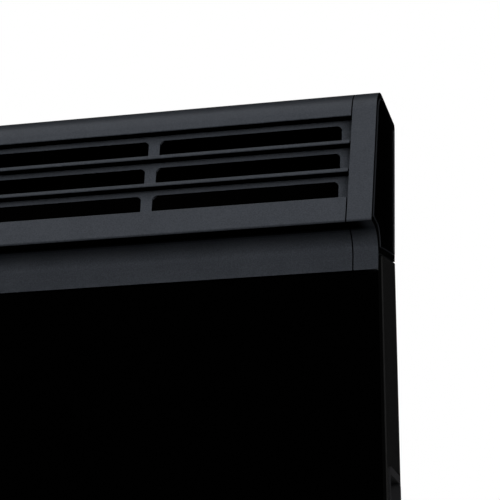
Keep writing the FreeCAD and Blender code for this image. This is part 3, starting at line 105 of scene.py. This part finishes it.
# %% Sockets with arithmetic
class Wire:
    """An output socket. Sums and products of wires add Math nodes to its tree."""

    def __init__(self, socket):
        self.socket = socket
        self.tree = socket.id_data

    def node(self, kind, settings, sockets, output=0):
        """Adds a node of a type: its settings, then a value or a wire for each socket."""
        made = self.tree.nodes.new("ShaderNode" + kind)
        for name, value in settings.items():
            setattr(made, name, value)
        for name, value in sockets.items():
            if isinstance(value, Wire):
                self.tree.links.new(value.socket, made.inputs[name])
            else:
                made.inputs[name].default_value = value
        return Wire(made.outputs[output])

    def sum(self, operation, first, second):
        return self.node("Math", {"operation": operation}, {0: first, 1: second})

    def __add__(self, other):
        return self.sum("ADD", self, other)

    def __radd__(self, other):
        return self.sum("ADD", other, self)

    def __sub__(self, other):
        return self.sum("SUBTRACT", self, other)

    def __rsub__(self, other):
        return self.sum("SUBTRACT", other, self)

    def __mul__(self, other):
        return self.sum("MULTIPLY", self, other)

    def __rmul__(self, other):
        return self.sum("MULTIPLY", other, self)

    def over(self, low, high):
        """0 below low and 1 above high, with a smooth step between."""
        return self.node("MapRange", {"interpolation_type": "SMOOTHSTEP"},
                         {"Value": self, "From Min": low, "From Max": high})

    def between(self, first, second):
        """The colour that goes from first to second as this value goes from 0 to 1."""
        return self.node("Mix", {"data_type": "RGBA"}, {0: self, 6: first, 7: second}, 2)

    def shading(self, first, second):
        """The shader that goes from first to second as this value goes from 0 to 1."""
        return self.node("MixShader", {}, {0: self, 1: first, 2: second})

    def part(self, axis):
        """The part of this vector along an axis: 0, 1 or 2 for X, Y or Z."""
        return self.node("SeparateXYZ", {}, {"Vector": self}, axis)


def rgb(red, green, blue):
    return (red, green, blue, 1.0)


def grey(level):
    return rgb(level, level, level)


print("wire methods:", [name for name in vars(Wire) if "__" not in name])

# %% [markdown]
# ## Starting a finish
# Each finish is one Principled shader. What is the same all over a surface is set on the shader's own
# socket, and only colour, roughness, gloss and the surface's fine relief come from textures. These read
# Object coordinates, and every piece sits at the origin, so a grain has the same size on all of them.
# Where one piece has two finishes, it could be cut in two. A mask from the direction of its faces keeps
# it whole.

# %% Materials
finishes = {}


def feed(name, socket, value):
    """Links a wire to a socket of a finish's shader, or sets a constant on it."""
    tree = finishes[name].node_tree
    target = tree.nodes["Principled BSDF"].inputs[socket]
    if isinstance(value, Wire):
        tree.links.new(value.socket, target)
    else:
        target.default_value = value


def finish(name, colour, roughness, relief=None, relief_depth=0.0, **others):
    """Feeds a finish its colour, roughness, relief of a depth in metres, and other sockets by name."""
    feed(name, "Base Color", colour)
    feed(name, "Roughness", roughness)
    if relief is not None:
        bump = {"Height": relief, "Distance": relief_depth, "Strength": 1.0}
        feed(name, "Normal", relief.node("Bump", {}, bump))
    for socket, value in others.items():
        feed(name, socket.replace("_", " ").title().replace("Ior", "IOR"), value)


def place_on(name):
    """Starts a material and returns the wire of its Object coordinates."""
    finishes[name] = bpy.data.materials.new(name)
    finishes[name].use_nodes = True
    coordinates = finishes[name].node_tree.nodes.new("ShaderNodeTexCoord")
    return Wire(coordinates.outputs["Object"])


def grain(place, size, detail=2.0, stretch=(1.0, 1.0, 1.0)):
    """Noise whose lumps are about one size in metres, drawn out along an axis by its stretch."""
    scale = tuple(1 / (size * axis) for axis in stretch)
    mapped = place.node("Mapping", {}, {"Vector": place, "Scale": scale})
    return place.node("TexNoise", {}, {"Vector": mapped, "Scale": 1.0, "Detail": detail})


def show(name, shader):
    """Makes a shader the surface of a finish."""
    tree = finishes[name].node_tree
    tree.links.new(shader.socket, tree.nodes["Material Output"].inputs["Surface"])


def coat_of(name):
    """The wire of a finish's Principled shader."""
    return Wire(finishes[name].node_tree.nodes["Principled BSDF"].outputs[0])


def paint_shade_where(name, mask, level):
    """Paints shade: replaces a finish by a dull grey of one level wherever a mask is 1."""
    dull = mask.node("BsdfDiffuse", {}, {"Color": grey(level)})
    show(name, mask.shading(coat_of(name), dull))


def facing(place, axis):
    """How far the flat of each face looks along an axis, from -1 to 1."""
    return place.node("NewGeometry", {}, {}, "True Normal").part(axis)


def sideways(place, low, high):
    """A mask of the faces that look to either side: their squared direction along X, over a range."""
    along = facing(place, 0)
    return (along * along).over(low, high)


def frontwards(place, low, high):
    """A mask of the faces that look to the front, over a range of their direction along -Y."""
    return (facing(place, 1) * -1.0).over(low, high)


# %% [markdown]
# ## Anthracite powder coat
# The head and its end caps are coated in a satin anthracite. Powder coat melts into a skin with a faint
# orange peel about a millimetre across and a finer sparkle on it. The lower half of each slotted plate
# is painted a paler grey as painted light, fading out towards the corner under the bar above, where the
# bar's shade falls. Undersides and faces that look sideways are painted dull black as painted shade,
# except the undersides near the head's two ends, which keep the coat as painted light coming in at the
# open ends. The plates could be pieces of their own. Here a row is found by its height, as the fraction
# of a pitch above the lowest plate's foot, and the rest by the direction of the faces.

# %% Head coat
COAT_DARK = np.array([0.0232, 0.0260, 0.0311])
COAT_PALE = np.array([0.0428, 0.0470, 0.0549])
COAT_SHEEN = rgb(0.76, 0.84, 1.0)
# The gain lightens the coat's grey where light is painted on the plates' lower halves.
PAINTED_LIGHT_GAIN = 1.58
PAINTED_LIGHT_FADE = (0.50, 0.77)
# The dull black level of the painted shade on undersides and side faces.
PAINTED_SHADE_LEVEL = 0.001

head_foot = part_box("outlet_grille")[0].z
ROW_FOOT = 0.03427
ROW_PITCH = 0.017395
ROWS_START, ROWS_END = (0.0296, 0.0316), (0.0851, 0.0861)
cap_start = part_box("end_cap_right")[0].x
# Within this reach of each end, undersides keep the coat: painted light coming in at the open ends.
END_LIGHT_REACH = (0.004, 0.011)

PLATE_FACING = (0.97, 0.99)
UNDERSIDE_FACING = (0.905, 0.997)
END_FACING = (0.8, 0.95)


# Painted light: the lower half of each slotted plate, fading out under the bar above, where its shade
# falls.
def plates_painted_light(place):
    """A mask of painted light: the lower part of the slotted plates, from their direction and height."""
    height = place.part(2) - head_foot
    rows_up = (height - ROW_FOOT) * (1 / ROW_PITCH)
    within_row = place.node("Math", {"operation": "FRACT"}, {0: rows_up})
    in_rows = height.over(*ROWS_START) * (1.0 - height.over(*ROWS_END))
    return frontwards(place, *PLATE_FACING) * in_rows * (1.0 - within_row.over(*PAINTED_LIGHT_FADE))


# Painted shade: side faces and undersides turn dull black, except undersides near the two ends.
def painted_shade_mask(place):
    """A mask of painted shade: faces to the side, and undersides away from the open ends; near the ends
    they stay lit, as painted light.
    """
    along = place.part(0)
    lit_near_ends = (along * along).over(*((cap_start + reach) ** 2 for reach in END_LIGHT_REACH))
    undersides = (facing(place, 2) * -1.0).over(*UNDERSIDE_FACING) * (1.0 - lit_near_ends)
    return sideways(place, *END_FACING) + undersides


def anthracite():
    place = place_on("anthracite_coat")
    peel = grain(place, 0.0012)
    speck = grain(place, 0.00035, 1.0)
    cloud = grain(place, 0.02)
    fleck = grain(place, 0.0007, 1.0)
    tone = (0.8 * fleck + 0.2 * cloud).over(0.3, 0.7)
    coat_grey = tone.between(rgb(*COAT_DARK), rgb(*COAT_PALE))
    painted_lit_grey = tone.between(rgb(*(PAINTED_LIGHT_GAIN * COAT_DARK)), rgb(*(PAINTED_LIGHT_GAIN * COAT_PALE)))
    # The paler grey on the plates' lower halves is painted light.
    finish("anthracite_coat", plates_painted_light(place).between(coat_grey, painted_lit_grey),
           0.28 + 0.06 * peel + 0.04 * speck, 0.7 * peel + 0.3 * speck, 0.00002,
           specular_tint=COAT_SHEEN, specular_ior_level=0.6)
    # Undersides and side faces become a dull black: painted shade.
    paint_shade_where("anthracite_coat", painted_shade_mask(place), PAINTED_SHADE_LEVEL)


anthracite()
print("head coat:", np.round((COAT_DARK + COAT_PALE) / 2, 4).tolist())

# %% [markdown]
# ## Black trim, black paint and the dark back
# The plates on the cap ends are black mouldings. Their flats are painted near black under a satin clear
# coat, the moulding's black deepened with painted shade, and the bead round them is a dull dark grey,
# painted paler at the rear edge as a painted highlight.
# The body sheets are black paint with a fine spatter, with the same clear coat on their flat sides, and
# painted dull black as painted shade where they face the front, beside the glass. The back and the
# bottom, which nobody looks at, have a coarser dark grey coat, painted nearly black on the inside as
# painted shade. The feet are plain black powder coat.
# Each is a sum of noises, and Coat Weight carries the gloss of the flats.

# %% Dark paints
CLEAR_COAT = {"coat_roughness": 0.24}
FLAT_SIDE = (0.97, 0.995)
TRIM_FLAT = (0.85, 0.95)
BODY_FRONT, BODY_FRONT_SHADE = (0.95, 0.99), 0.0022
REAR_INSIDE, REAR_INSIDE_SHADE = (0.2, 0.6), 0.0008
trim_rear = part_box("end_plate_right")[1].y
# Where the painted highlight on the bead starts and ends, ahead of the plate's rear.
REAR_HIGHLIGHT_AHEAD = (0.02075, 0.01875)


def spatter_paint(name, lump, fine, dark, pale, gloss_low, gloss_spread, depth, clear=None):
    """Paint of coarse lumps and fine spatter, with a clear coat on its flat sides if asked."""
    place = place_on(name)
    lumps = grain(place, lump)
    spatter = grain(place, fine, 1.0)
    colour = (0.5 * lumps + 0.5 * spatter).over(0.35, 0.65).between(dark, pale)
    others = {"coat_weight": sideways(place, *FLAT_SIDE), **clear} if clear else {}
    finish(name, colour, gloss_low + gloss_spread * lumps, 0.6 * lumps + 0.4 * spatter, depth, **others)
    return place


def trim_plate():
    place = place_on("black_trim")
    lumps = grain(place, 0.0006)
    # Painted highlight: the bead turns paler towards the rear edge.
    rear_highlight = place.part(1).over(*(trim_rear - ahead for ahead in REAR_HIGHLIGHT_AHEAD))
    bead = rear_highlight.between(rgb(0.012, 0.013, 0.015), rgb(0.040, 0.041, 0.044))
    # The near black of the flats is the moulding's black deepened with painted shade.
    colour = sideways(place, *TRIM_FLAT).between(bead, grey(0.0003))
    finish("black_trim", colour, 0.55 + 0.15 * lumps, lumps, 0.00001, specular_ior_level=0.0,
           coat_weight=sideways(place, *FLAT_SIDE), **CLEAR_COAT)


def rear_coat():
    place = place_on("rear_sheet")
    lumps = grain(place, 0.0014)
    colour = lumps.over(0.35, 0.65).between(rgb(0.022, 0.023, 0.026), rgb(0.032, 0.033, 0.037))
    finish("rear_sheet", colour, 0.5 + 0.15 * lumps, lumps, 0.00006)
    # Painted shade: the inner faces of the rear sheet, seen through the slots, become nearly black.
    paint_shade_where("rear_sheet", frontwards(place, *REAR_INSIDE), REAR_INSIDE_SHADE)


trim_plate()
rear_coat()
body = spatter_paint("black_sheet", 0.0009, 0.0003, grey(0.0078), grey(0.0138), 0.42, 0.13, 0.00002,
                     {"specular_ior_level": 0.06, **CLEAR_COAT})
# Painted shade: the faces of the body that look to the front, beside the glass, become dull black.
paint_shade_where("black_sheet", frontwards(body, *BODY_FRONT), BODY_FRONT_SHADE)
spatter_paint("foot_coat", 0.0011, 0.000275, rgb(0.014, 0.014, 0.016), rgb(0.022, 0.022, 0.024),
              0.42, 0.13, 0.00003)
print("paints:", sorted(finishes))

# %% [markdown]
# ## Black glass
# The front is a sheet of toughened glass, printed black on its back. It could be clear glass over a
# black sheet, but no light comes back through the print, so one black surface with the gloss of glass
# looks the same. A real sheet is never quite clean, so a slow cloud of handling lifts its roughness a
# little here and there.


# %% Glass
def glass():
    place = place_on("black_glass")
    smear = grain(place, 0.09, 3.0)
    streak = grain(place, 0.012, 2.0, (1.0, 1.0, 6.0))
    roughness = 0.02 + 0.05 * smear.over(0.5, 0.8) + 0.02 * streak.over(0.5, 0.9)
    finish("black_glass", smear.between(grey(0.0002), grey(0.0004)), roughness, ior=1.5)


glass()
print("glass nodes:", len(finishes["black_glass"].node_tree.nodes))

# %% [markdown]
# ## Metals
# The screws are zinc plated, with a soft cloud in the plating. The element is drawn aluminium, so its
# grain is stretched along X, and the rod and the spindle are drawn steel. The heat shield and brackets
# are galvanised, which shows as flat crystals: a Voronoi texture gives each crystal its own shade.
# Drawn grain could be an anisotropic gloss. Stretched noise in the roughness and the relief looks much
# the same at this size, and it stays in the exported model.


# %% Metal finishes
def plated(name, dark, pale, lump, gloss_low, gloss_high, stretch=(1.0, 1.0, 1.0)):
    place = place_on(name)
    cloud = grain(place, lump, 3.0, stretch)
    fine = grain(place, lump / 6, 2.0, stretch)
    colour = cloud.over(0.3, 0.7).between(dark, pale)
    roughness = gloss_low + (gloss_high - gloss_low) * fine
    finish(name, colour, roughness, fine, 0.000008, metallic=1.0)


def galvanised():
    place = place_on("bright_sheet")
    crystal = place.node("TexVoronoi", {}, {"Vector": place, "Scale": 140.0}, "Color")
    shade = crystal.node("SeparateColor", {}, {"Color": crystal})
    frost = grain(place, 0.0008)
    colour = shade.between(rgb(0.42, 0.43, 0.45), rgb(0.62, 0.63, 0.65))
    finish("bright_sheet", colour, 0.3 + 0.15 * shade + 0.1 * frost, frost, 0.00001, metallic=1.0)


plated("plated_screw", rgb(0.40, 0.40, 0.42), rgb(0.55, 0.55, 0.56), 0.003, 0.28, 0.45)
plated("element_alloy", rgb(0.52, 0.52, 0.53), rgb(0.66, 0.66, 0.67), 0.002, 0.3, 0.5, (40.0, 1.0, 1.0))
plated("rod_steel", rgb(0.30, 0.29, 0.28), rgb(0.42, 0.41, 0.40), 0.002, 0.25, 0.4, (20.0, 1.0, 1.0))
plated("brass", rgb(0.55, 0.36, 0.14), rgb(0.70, 0.48, 0.20), 0.004, 0.25, 0.45)
galvanised()
print("metals:", list(finishes)[-5:])

# %% [markdown]
# ## Mouldings, rubber and ceramic
# The control pocket, the switches and the gland are black mouldings from a spark-eroded tool: an even,
# very fine grain. The knob and rockers are smoother. The pads are dull rubber, the bushes unglazed
# ceramic with a few darker grains, and the leads have a smooth pale sleeve. Each could have a recipe of
# its own. One does for them all: a spark grain for the surface and a slow cloud for the flow of the
# material.


# %% Mouldings
def moulding(name, dark, pale, gloss_low, gloss_high, lump, depth, **others):
    place = place_on(name)
    spark = grain(place, lump)
    flow = grain(place, 0.03, 1.0)
    colour = (0.5 * spark + 0.5 * flow).over(0.3, 0.7).between(dark, pale)
    finish(name, colour, gloss_low + (gloss_high - gloss_low) * spark, spark, depth, **others)


moulding("dark_moulding", rgb(0.011, 0.011, 0.012), rgb(0.017, 0.017, 0.018), 0.45, 0.6, 0.0005, 0.00003)
moulding("knob_plastic", rgb(0.016, 0.016, 0.018), rgb(0.022, 0.022, 0.024), 0.28, 0.4, 0.0007, 0.00001)
moulding("white_plastic", rgb(0.66, 0.65, 0.61), rgb(0.76, 0.75, 0.71), 0.4, 0.55, 0.0008, 0.00001)
moulding("pad_rubber", grey(0.012), grey(0.020), 0.75, 0.9, 0.0007, 0.00004)
moulding("bond_pad", rgb(0.022, 0.022, 0.023), rgb(0.038, 0.038, 0.039), 0.85, 0.95, 0.0012, 0.00012)
moulding("wire_cover", rgb(0.42, 0.42, 0.44), rgb(0.55, 0.55, 0.57), 0.4, 0.55, 0.002, 0.00001)
moulding("ceramic", rgb(0.60, 0.57, 0.50), rgb(0.78, 0.76, 0.71), 0.6, 0.75, 0.0006, 0.00003)
moulding("lamp_lens", rgb(0.50, 0.09, 0.015), rgb(0.68, 0.14, 0.02), 0.12, 0.2, 0.0015, 0.00001,
         coat_weight=0.4)
moulding("mark_paint", rgb(0.68, 0.68, 0.67), rgb(0.78, 0.78, 0.77), 0.5, 0.6, 0.0005, 0.00001)
moulding("bare_foil", rgb(0.42, 0.42, 0.43), rgb(0.52, 0.52, 0.53), 0.35, 0.5, 0.0009, 0.00001,
         metallic=0.8)
print("finishes:", len(finishes))

# %% [markdown]
# ## Dressing the solids
# The solids could be dressed one by one. The record names a finish for each node, though, and the
# materials above carry the same names, so one pass over the record's list dresses every solid. The
# solids keep their places and their meshes.

# %% Dress the nodes
for entry in frame["record"]["subparts"]:
    slots = nodes[entry["node"]].data.materials
    slots.clear()
    slots.append(finishes[entry["material_slot"]])

# %% [markdown]
# ## Swept strips
# The marks on the controls are prints and inlays that stand a little proud. They could be masks in a
# material, but a strip of its own keeps a sharp edge and stays in the exported meshes. A strip is a flat
# profile carried along a path. The path is three arrays, the centres, the directions across it and the
# outward directions, and the profile is a low plate with bevelled edges, so that even a mark a tenth of
# a millimetre thick has an edge that catches light.

# %% Strips along a path
MM = 0.001
FLAT_SHARE = 0.88


def strip(centres, across, outwards, half_width, height, closed=False):
    """Points of a strip: centre + profile side x half width x across + profile height x outwards.

    The profile is a flat plate with bevelled upper edges, four points round. A direction that stays the
    same is one vector. Returns the points and the faces, with the ends capped unless the path is closed.
    """
    side = np.array([-1.0, -FLAT_SHARE, FLAT_SHARE, 1.0])
    rise = np.array([0.0, 1.0, 1.0, 0.0]) * height
    across, outwards = (np.broadcast_to(way, centres.shape) for way in (across, outwards))
    width = np.broadcast_to(half_width, len(centres))
    points = (centres[:, None] + (width[:, None] * side)[..., None] * across[:, None]
              + rise[None, :, None] * outwards[:, None])
    rows, columns = points.shape[:2]
    here = np.arange(rows if closed else rows - 1)[:, None] * columns
    there = (here + columns) % (rows * columns)
    left, right = np.arange(columns), np.roll(np.arange(columns), -1)
    corners = [here + left, here + right, there + right, there + left]
    faces = np.stack(corners, -1).reshape(-1, 4).tolist()
    if not closed:
        faces.append(list(range(columns - 1, -1, -1)))
        faces.append(list(range((rows - 1) * columns, rows * columns)))
    return points.reshape(-1, 3), faces


def piece(name, parts, material, body):
    """One mesh from several strips, dressed and riding on a body."""
    points, faces, start = [], [], 0
    for part_points, part_faces in parts:
        points.append(part_points)
        faces += [[corner + start for corner in face] for face in part_faces]
        start += len(part_points)
    mesh = bpy.data.meshes.new(name)
    mesh.from_pydata(np.concatenate(points).tolist(), [], faces)
    mesh.materials.append(finishes[material])
    made = bpy.data.objects.new(name, mesh)
    bpy.context.collection.objects.link(made)
    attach(made, body)
    print(name, "faces:", len(faces))


# %% [markdown]
# ## The dial's scale
# Round the knob, a wedge that widens clockwise shows more heat, with a tick at each step. It is printed
# on the floor of the pocket. The wedge is a strip along an arc whose half width grows with the angle,
# and each tick is a short strip along a radius.

# %% Scale of the thermostat dial
knob_low, knob_high = (np.array(corner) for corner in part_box("thermostat_knob"))
floor_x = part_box("thermostat_nut")[0].x
hub = np.array([floor_x, *(knob_low + knob_high)[1:] / 2])
outward_x = np.array([1.0, 0.0, 0.0])
SWEEP = 135.0
PRINT = 0.08 * MM
WEDGE_STEPS = 73
WEDGE_RADIUS = 11.2 * MM
WEDGE_HALF = (0.12 * MM, 0.8 * MM)
TICKS = 7
TICK_REACH = np.array([13.2, 14.3]) * MM
TICK_HALF = 0.2 * MM


def round_hub(angle, radius):
    """Centre, tangent and radial direction at angles from the top, clockwise as seen from +X."""
    radial = np.stack([0 * angle, np.sin(angle), np.cos(angle)], -1)
    tangent = np.stack([0 * angle, np.cos(angle), -np.sin(angle)], -1)
    return hub + np.broadcast_to(radius, angle.shape)[:, None] * radial, tangent, radial


wedge_half = np.linspace(*WEDGE_HALF, WEDGE_STEPS)
angles = np.radians(np.linspace(-SWEEP, SWEEP, WEDGE_STEPS))
centres, _, radial = round_hub(angles, WEDGE_RADIUS + wedge_half)
dial_marks = [strip(centres, -radial, outward_x, wedge_half, PRINT)]
for angle in np.radians(np.linspace(-SWEEP, SWEEP, TICKS)):
    centres, tangent, _ = round_hub(np.full(2, angle), TICK_REACH)
    dial_marks.append(strip(centres, tangent, outward_x, TICK_HALF, PRINT))
piece("dial_scale", dial_marks, "mark_paint", "cabinet")

# %% [markdown]
# ## The knob's pointer
# A groove in the knob's face is filled with pale paint, a little below the rim. The strip lies in that
# groove, so it turns with the dial. At rest the dial points to its lowest setting, down to the left.

# %% Pointer
POINTER_REACH = np.array([0.8, 8.6]) * MM
POINTER_BELOW_RIM = 0.6 * MM
POINTER_HALF = 0.52 * MM
POINTER_FILL = 0.35 * MM

centres, tangent, _ = round_hub(np.radians(np.full(2, -SWEEP)), POINTER_REACH)
centres[:, 0] = knob_high[0] - POINTER_BELOW_RIM
pointer = strip(centres, tangent, outward_x, POINTER_HALF, POINTER_FILL)
piece("knob_pointer", [pointer], "mark_paint", "thermostat_dial")

# %% [markdown]
# ## The rockers' marks
# Each rocker is dished: two flat halves that meet at 160 degrees. The half that is pressed at rest is
# marked with a ring for off, and the raised half with a bar for on. A ring is a strip along a closed
# circle. Both marks lie in the plane of their half and ride with the rocker.

# %% Off and on
DISH = math.radians(10.0)
PIVOT_TO_FACE = 2.2 * MM
MARK_REACH = 4.4 * MM
MARK_HALF = 0.22 * MM
RING_RADIUS = 1.35 * MM
RING_STEPS = 48
BAR_ENDS = np.array([-1.4, 1.4])[:, None] * MM

across = np.array([0.0, 1.0, 0.0])
upward = np.array([0.0, 0.0, 1.0])
down = np.array([math.sin(2 * DISH), 0.0, -math.cos(2 * DISH)])
lifted = np.array([math.cos(2 * DISH), 0.0, math.sin(2 * DISH)])
turn = np.linspace(0, 2 * np.pi, RING_STEPS, endpoint=False)[:, None]
spoke = np.cos(turn) * across + np.sin(turn) * upward
for level in ("upper", "lower"):
    joint = next(joint for joint in frame["joints"] if joint["child"] == level + "_rocker")
    crown = np.array(joint["pos_m"]) + PIVOT_TO_FACE * np.array([math.cos(DISH), 0.0, math.sin(DISH)])
    off_centre = crown + MARK_REACH * upward
    ring = strip(off_centre + RING_RADIUS * spoke, spoke, outward_x, MARK_HALF, PRINT, closed=True)
    bar = strip(crown + (MARK_REACH + BAR_ENDS) * down, -across, lifted, MARK_HALF, PRINT)
    piece("marks_" + level, [ring, bar], "mark_paint", level + "_rocker")

# %% [markdown]
# ## A bare plate on the back
# A heater carries a plate on its back. This one is left blank: a foil rectangle with bevelled edges,
# between two of the pressed ridges. It could be a flat box, but a strip of two points has the bevel
# already. It is placed from the rear panel's lower corner, and lies on the sheet's outer side.

# %% Blank plate
PLATE_OFFSET = np.array([123.8, 1.0, 130.0]) * MM
PLATE_HALF_LENGTH = 36.0 * MM
PLATE_HALF_HEIGHT = 21.0 * MM
PLATE_FOIL = 0.15 * MM

plate_centre = np.array(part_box("rear_panel")[0]) + PLATE_OFFSET
plate_ends = plate_centre + np.array([[-1.0], [1.0]]) * PLATE_HALF_LENGTH * outward_x
plate = strip(plate_ends, upward, across, PLATE_HALF_HEIGHT, PLATE_FOIL)
piece("blank_plate", [plate], "bare_foil", "cabinet")

# %% [markdown]
# ## The floor
# The heater stands on a plain pale sheet, which a photographer would roll up behind it until it goes
# over into white. A curved backdrop could be built. Here the floor is flat, and the camera sees it fade
# to white with distance. Black glass shows whatever stands before it, so mirrored rays don't see the
# floor near the heater, and see a dimmed white where it lies far off, to the right or behind. That keeps
# the glass black from the photograph's side and gives the other sides something to reflect.

# %% Floor
FLOOR_REACH = 4.0
FLOOR_STEPS = 9
FLOOR_DROP = 0.0005
FADE = (1.0, 2.2)
FAR, RIGHT, REAR = (1.4, 2.7), (0.45, 0.8), (0.15, 0.5)
DIMMED = 0.5

spread = np.linspace(-FLOOR_REACH, FLOOR_REACH, FLOOR_STEPS)
u, v = np.meshgrid(spread, spread, indexing="ij")
floor_points = np.stack([u, v, 0 * u - FLOOR_DROP], -1).reshape(-1, 3)
index = np.arange(u.size).reshape(u.shape)
corners = [index[:-1, :-1], index[1:, :-1], index[1:, 1:], index[:-1, 1:]]
floor_mesh = bpy.data.meshes.new("floor")
floor_mesh.from_pydata(floor_points.tolist(), [], np.stack(corners, -1).reshape(-1, 4).tolist())
floor = bpy.data.objects.new("floor", floor_mesh)
bpy.context.collection.objects.link(floor)
print("floor faces:", len(floor_mesh.polygons))


# %% Floor paint
def ray(wire, kind):
    """1 for the rays of a kind that Light Path names, and 0 for the others."""
    return wire.node("LightPath", {}, {}, "Is " + kind + " Ray")


def floor_paint():
    place = place_on("floor_paint")
    cloud = grain(place, 0.15)
    finish("floor_paint", cloud.between(grey(0.77), grey(0.82)), 0.8 + 0.1 * cloud,
           emission_color=grey(1.0), emission_strength=0.28)
    white = place.node("Emission", {}, {"Strength": 1.0})
    unlit = place.node("BsdfDiffuse", {}, {"Color": grey(0.01)})
    distance = place.node("VectorMath", {"operation": "LENGTH"}, {0: place}, "Value")
    faded = distance.over(*FADE).shading(coat_of("floor_paint"), white)
    not_far = 1.0 - distance.over(*FAR)
    hidden = not_far * (1.0 - place.part(0).over(*RIGHT)) * (1.0 - place.part(1).over(*REAR))
    glow = (DIMMED * ray(place, "Glossy") * (1.0 - hidden)).shading(unlit, white)
    show("floor_paint", ray(place, "Camera").shading(glow, faded))


floor_paint()
floor_mesh.materials.append(finishes["floor_paint"])
print("floor nodes:", len(finishes["floor_paint"].node_tree.nodes))


# %% [markdown]
# ## Softboxes
# The grey of the leaning face is the reflection of one wide softbox above and in front of it, so that
# one shows in the coat. The others only light: two in front for the band and the cove, and one on the
# right and two behind, low down, so that the rounded top and the glass's edge don't catch them. A lamp
# that a surface mirrors at a grazing angle would clip to white, so these are kept out of mirrored rays.

# %% Softboxes
def softbox(name, centre, aim, size, radiance, mirrored=False):
    """A rectangular lamp at a centre, turned to an aim. Its power is pi x area x radiance."""
    lamp = bpy.data.lights.new(name, "AREA")
    lamp.shape = "RECTANGLE"
    lamp.size, lamp.size_y = size
    lamp.energy = math.pi * size[0] * size[1] * radiance
    made = bpy.data.objects.new(name, lamp)
    made.location = centre
    made.rotation_euler = (Vector(aim) - Vector(centre)).to_track_quat("-Z", "Y").to_euler()
    made.visible_camera = False
    made.visible_glossy = mirrored
    bpy.context.collection.objects.link(made)
    print(name, "power:", round(lamp.energy, 1))


softbox("overhead", (-0.35, -0.66, 2.3), (-0.35, -0.66, 0.0), (2.6, 1.8), 0.53, mirrored=True)
softbox("front_left", (-2.75, -1.93, 0.83), (0.0, 0.0, 0.36), (1.8, 0.9), 13.0)
softbox("front_right", (1.82, -2.6, 0.8), (0.0, 0.0, 0.36), (2.0, 0.9), 10.3)
softbox("back_left", (-2.2, 1.3, 0.5), (0.0, 0.0, 0.25), (1.0, 0.7), 11.0)
softbox("right", (2.7, -0.25, 0.28), (0.0, 0.0, 0.25), (1.4, 0.42), 13.0)
softbox("back", (-0.95, 2.4, 0.35), (-0.2, 0.0, 0.25), (2.2, 0.5), 19.0)

# %% [markdown]
# ## The world
# The photograph's background is white, which the camera sees straight from the world. In a studio two
# pale cards would stand at the left and at the front right, for the gloss to show. They could be planes,
# but a world that is bright in those directions for mirrored rays does the same without a shadow. A
# faint even light fills what no softbox reaches.

# %% World
FILL = 0.01
CARD = 0.8
CARD_LEFT = (0.6, 0.75)
CARD_RIGHT, CARD_FRONT = (0.45, 0.6), (0.35, 0.5)

world = bpy.data.worlds.new("studio")
scene.world = world
world.use_nodes = True
background = world.node_tree.nodes["Background"]
direction = Wire(world.node_tree.nodes.new("ShaderNodeTexCoord").outputs["Generated"])
rightward, backward = direction.part(0), direction.part(1)
left_card = (-1.0 * rightward).over(*CARD_LEFT)
front_right_card = rightward.over(*CARD_RIGHT) * (-1.0 * backward).over(*CARD_FRONT)
cards = CARD * (left_card + front_right_card)
mirrored = ray(direction, "Glossy") + ray(direction, "Transmission")
strength = ray(direction, "Camera") + mirrored * cards + FILL * ray(direction, "Diffuse")
background.inputs["Color"].default_value = grey(1.0)
world.node_tree.links.new(strength.socket, background.inputs["Strength"])
print("world nodes:", len(world.node_tree.nodes))

# %% [markdown]
# ## The size stays
# The marks and the plate lie inside the solids' box, so the dressed heater is as large as the solids.
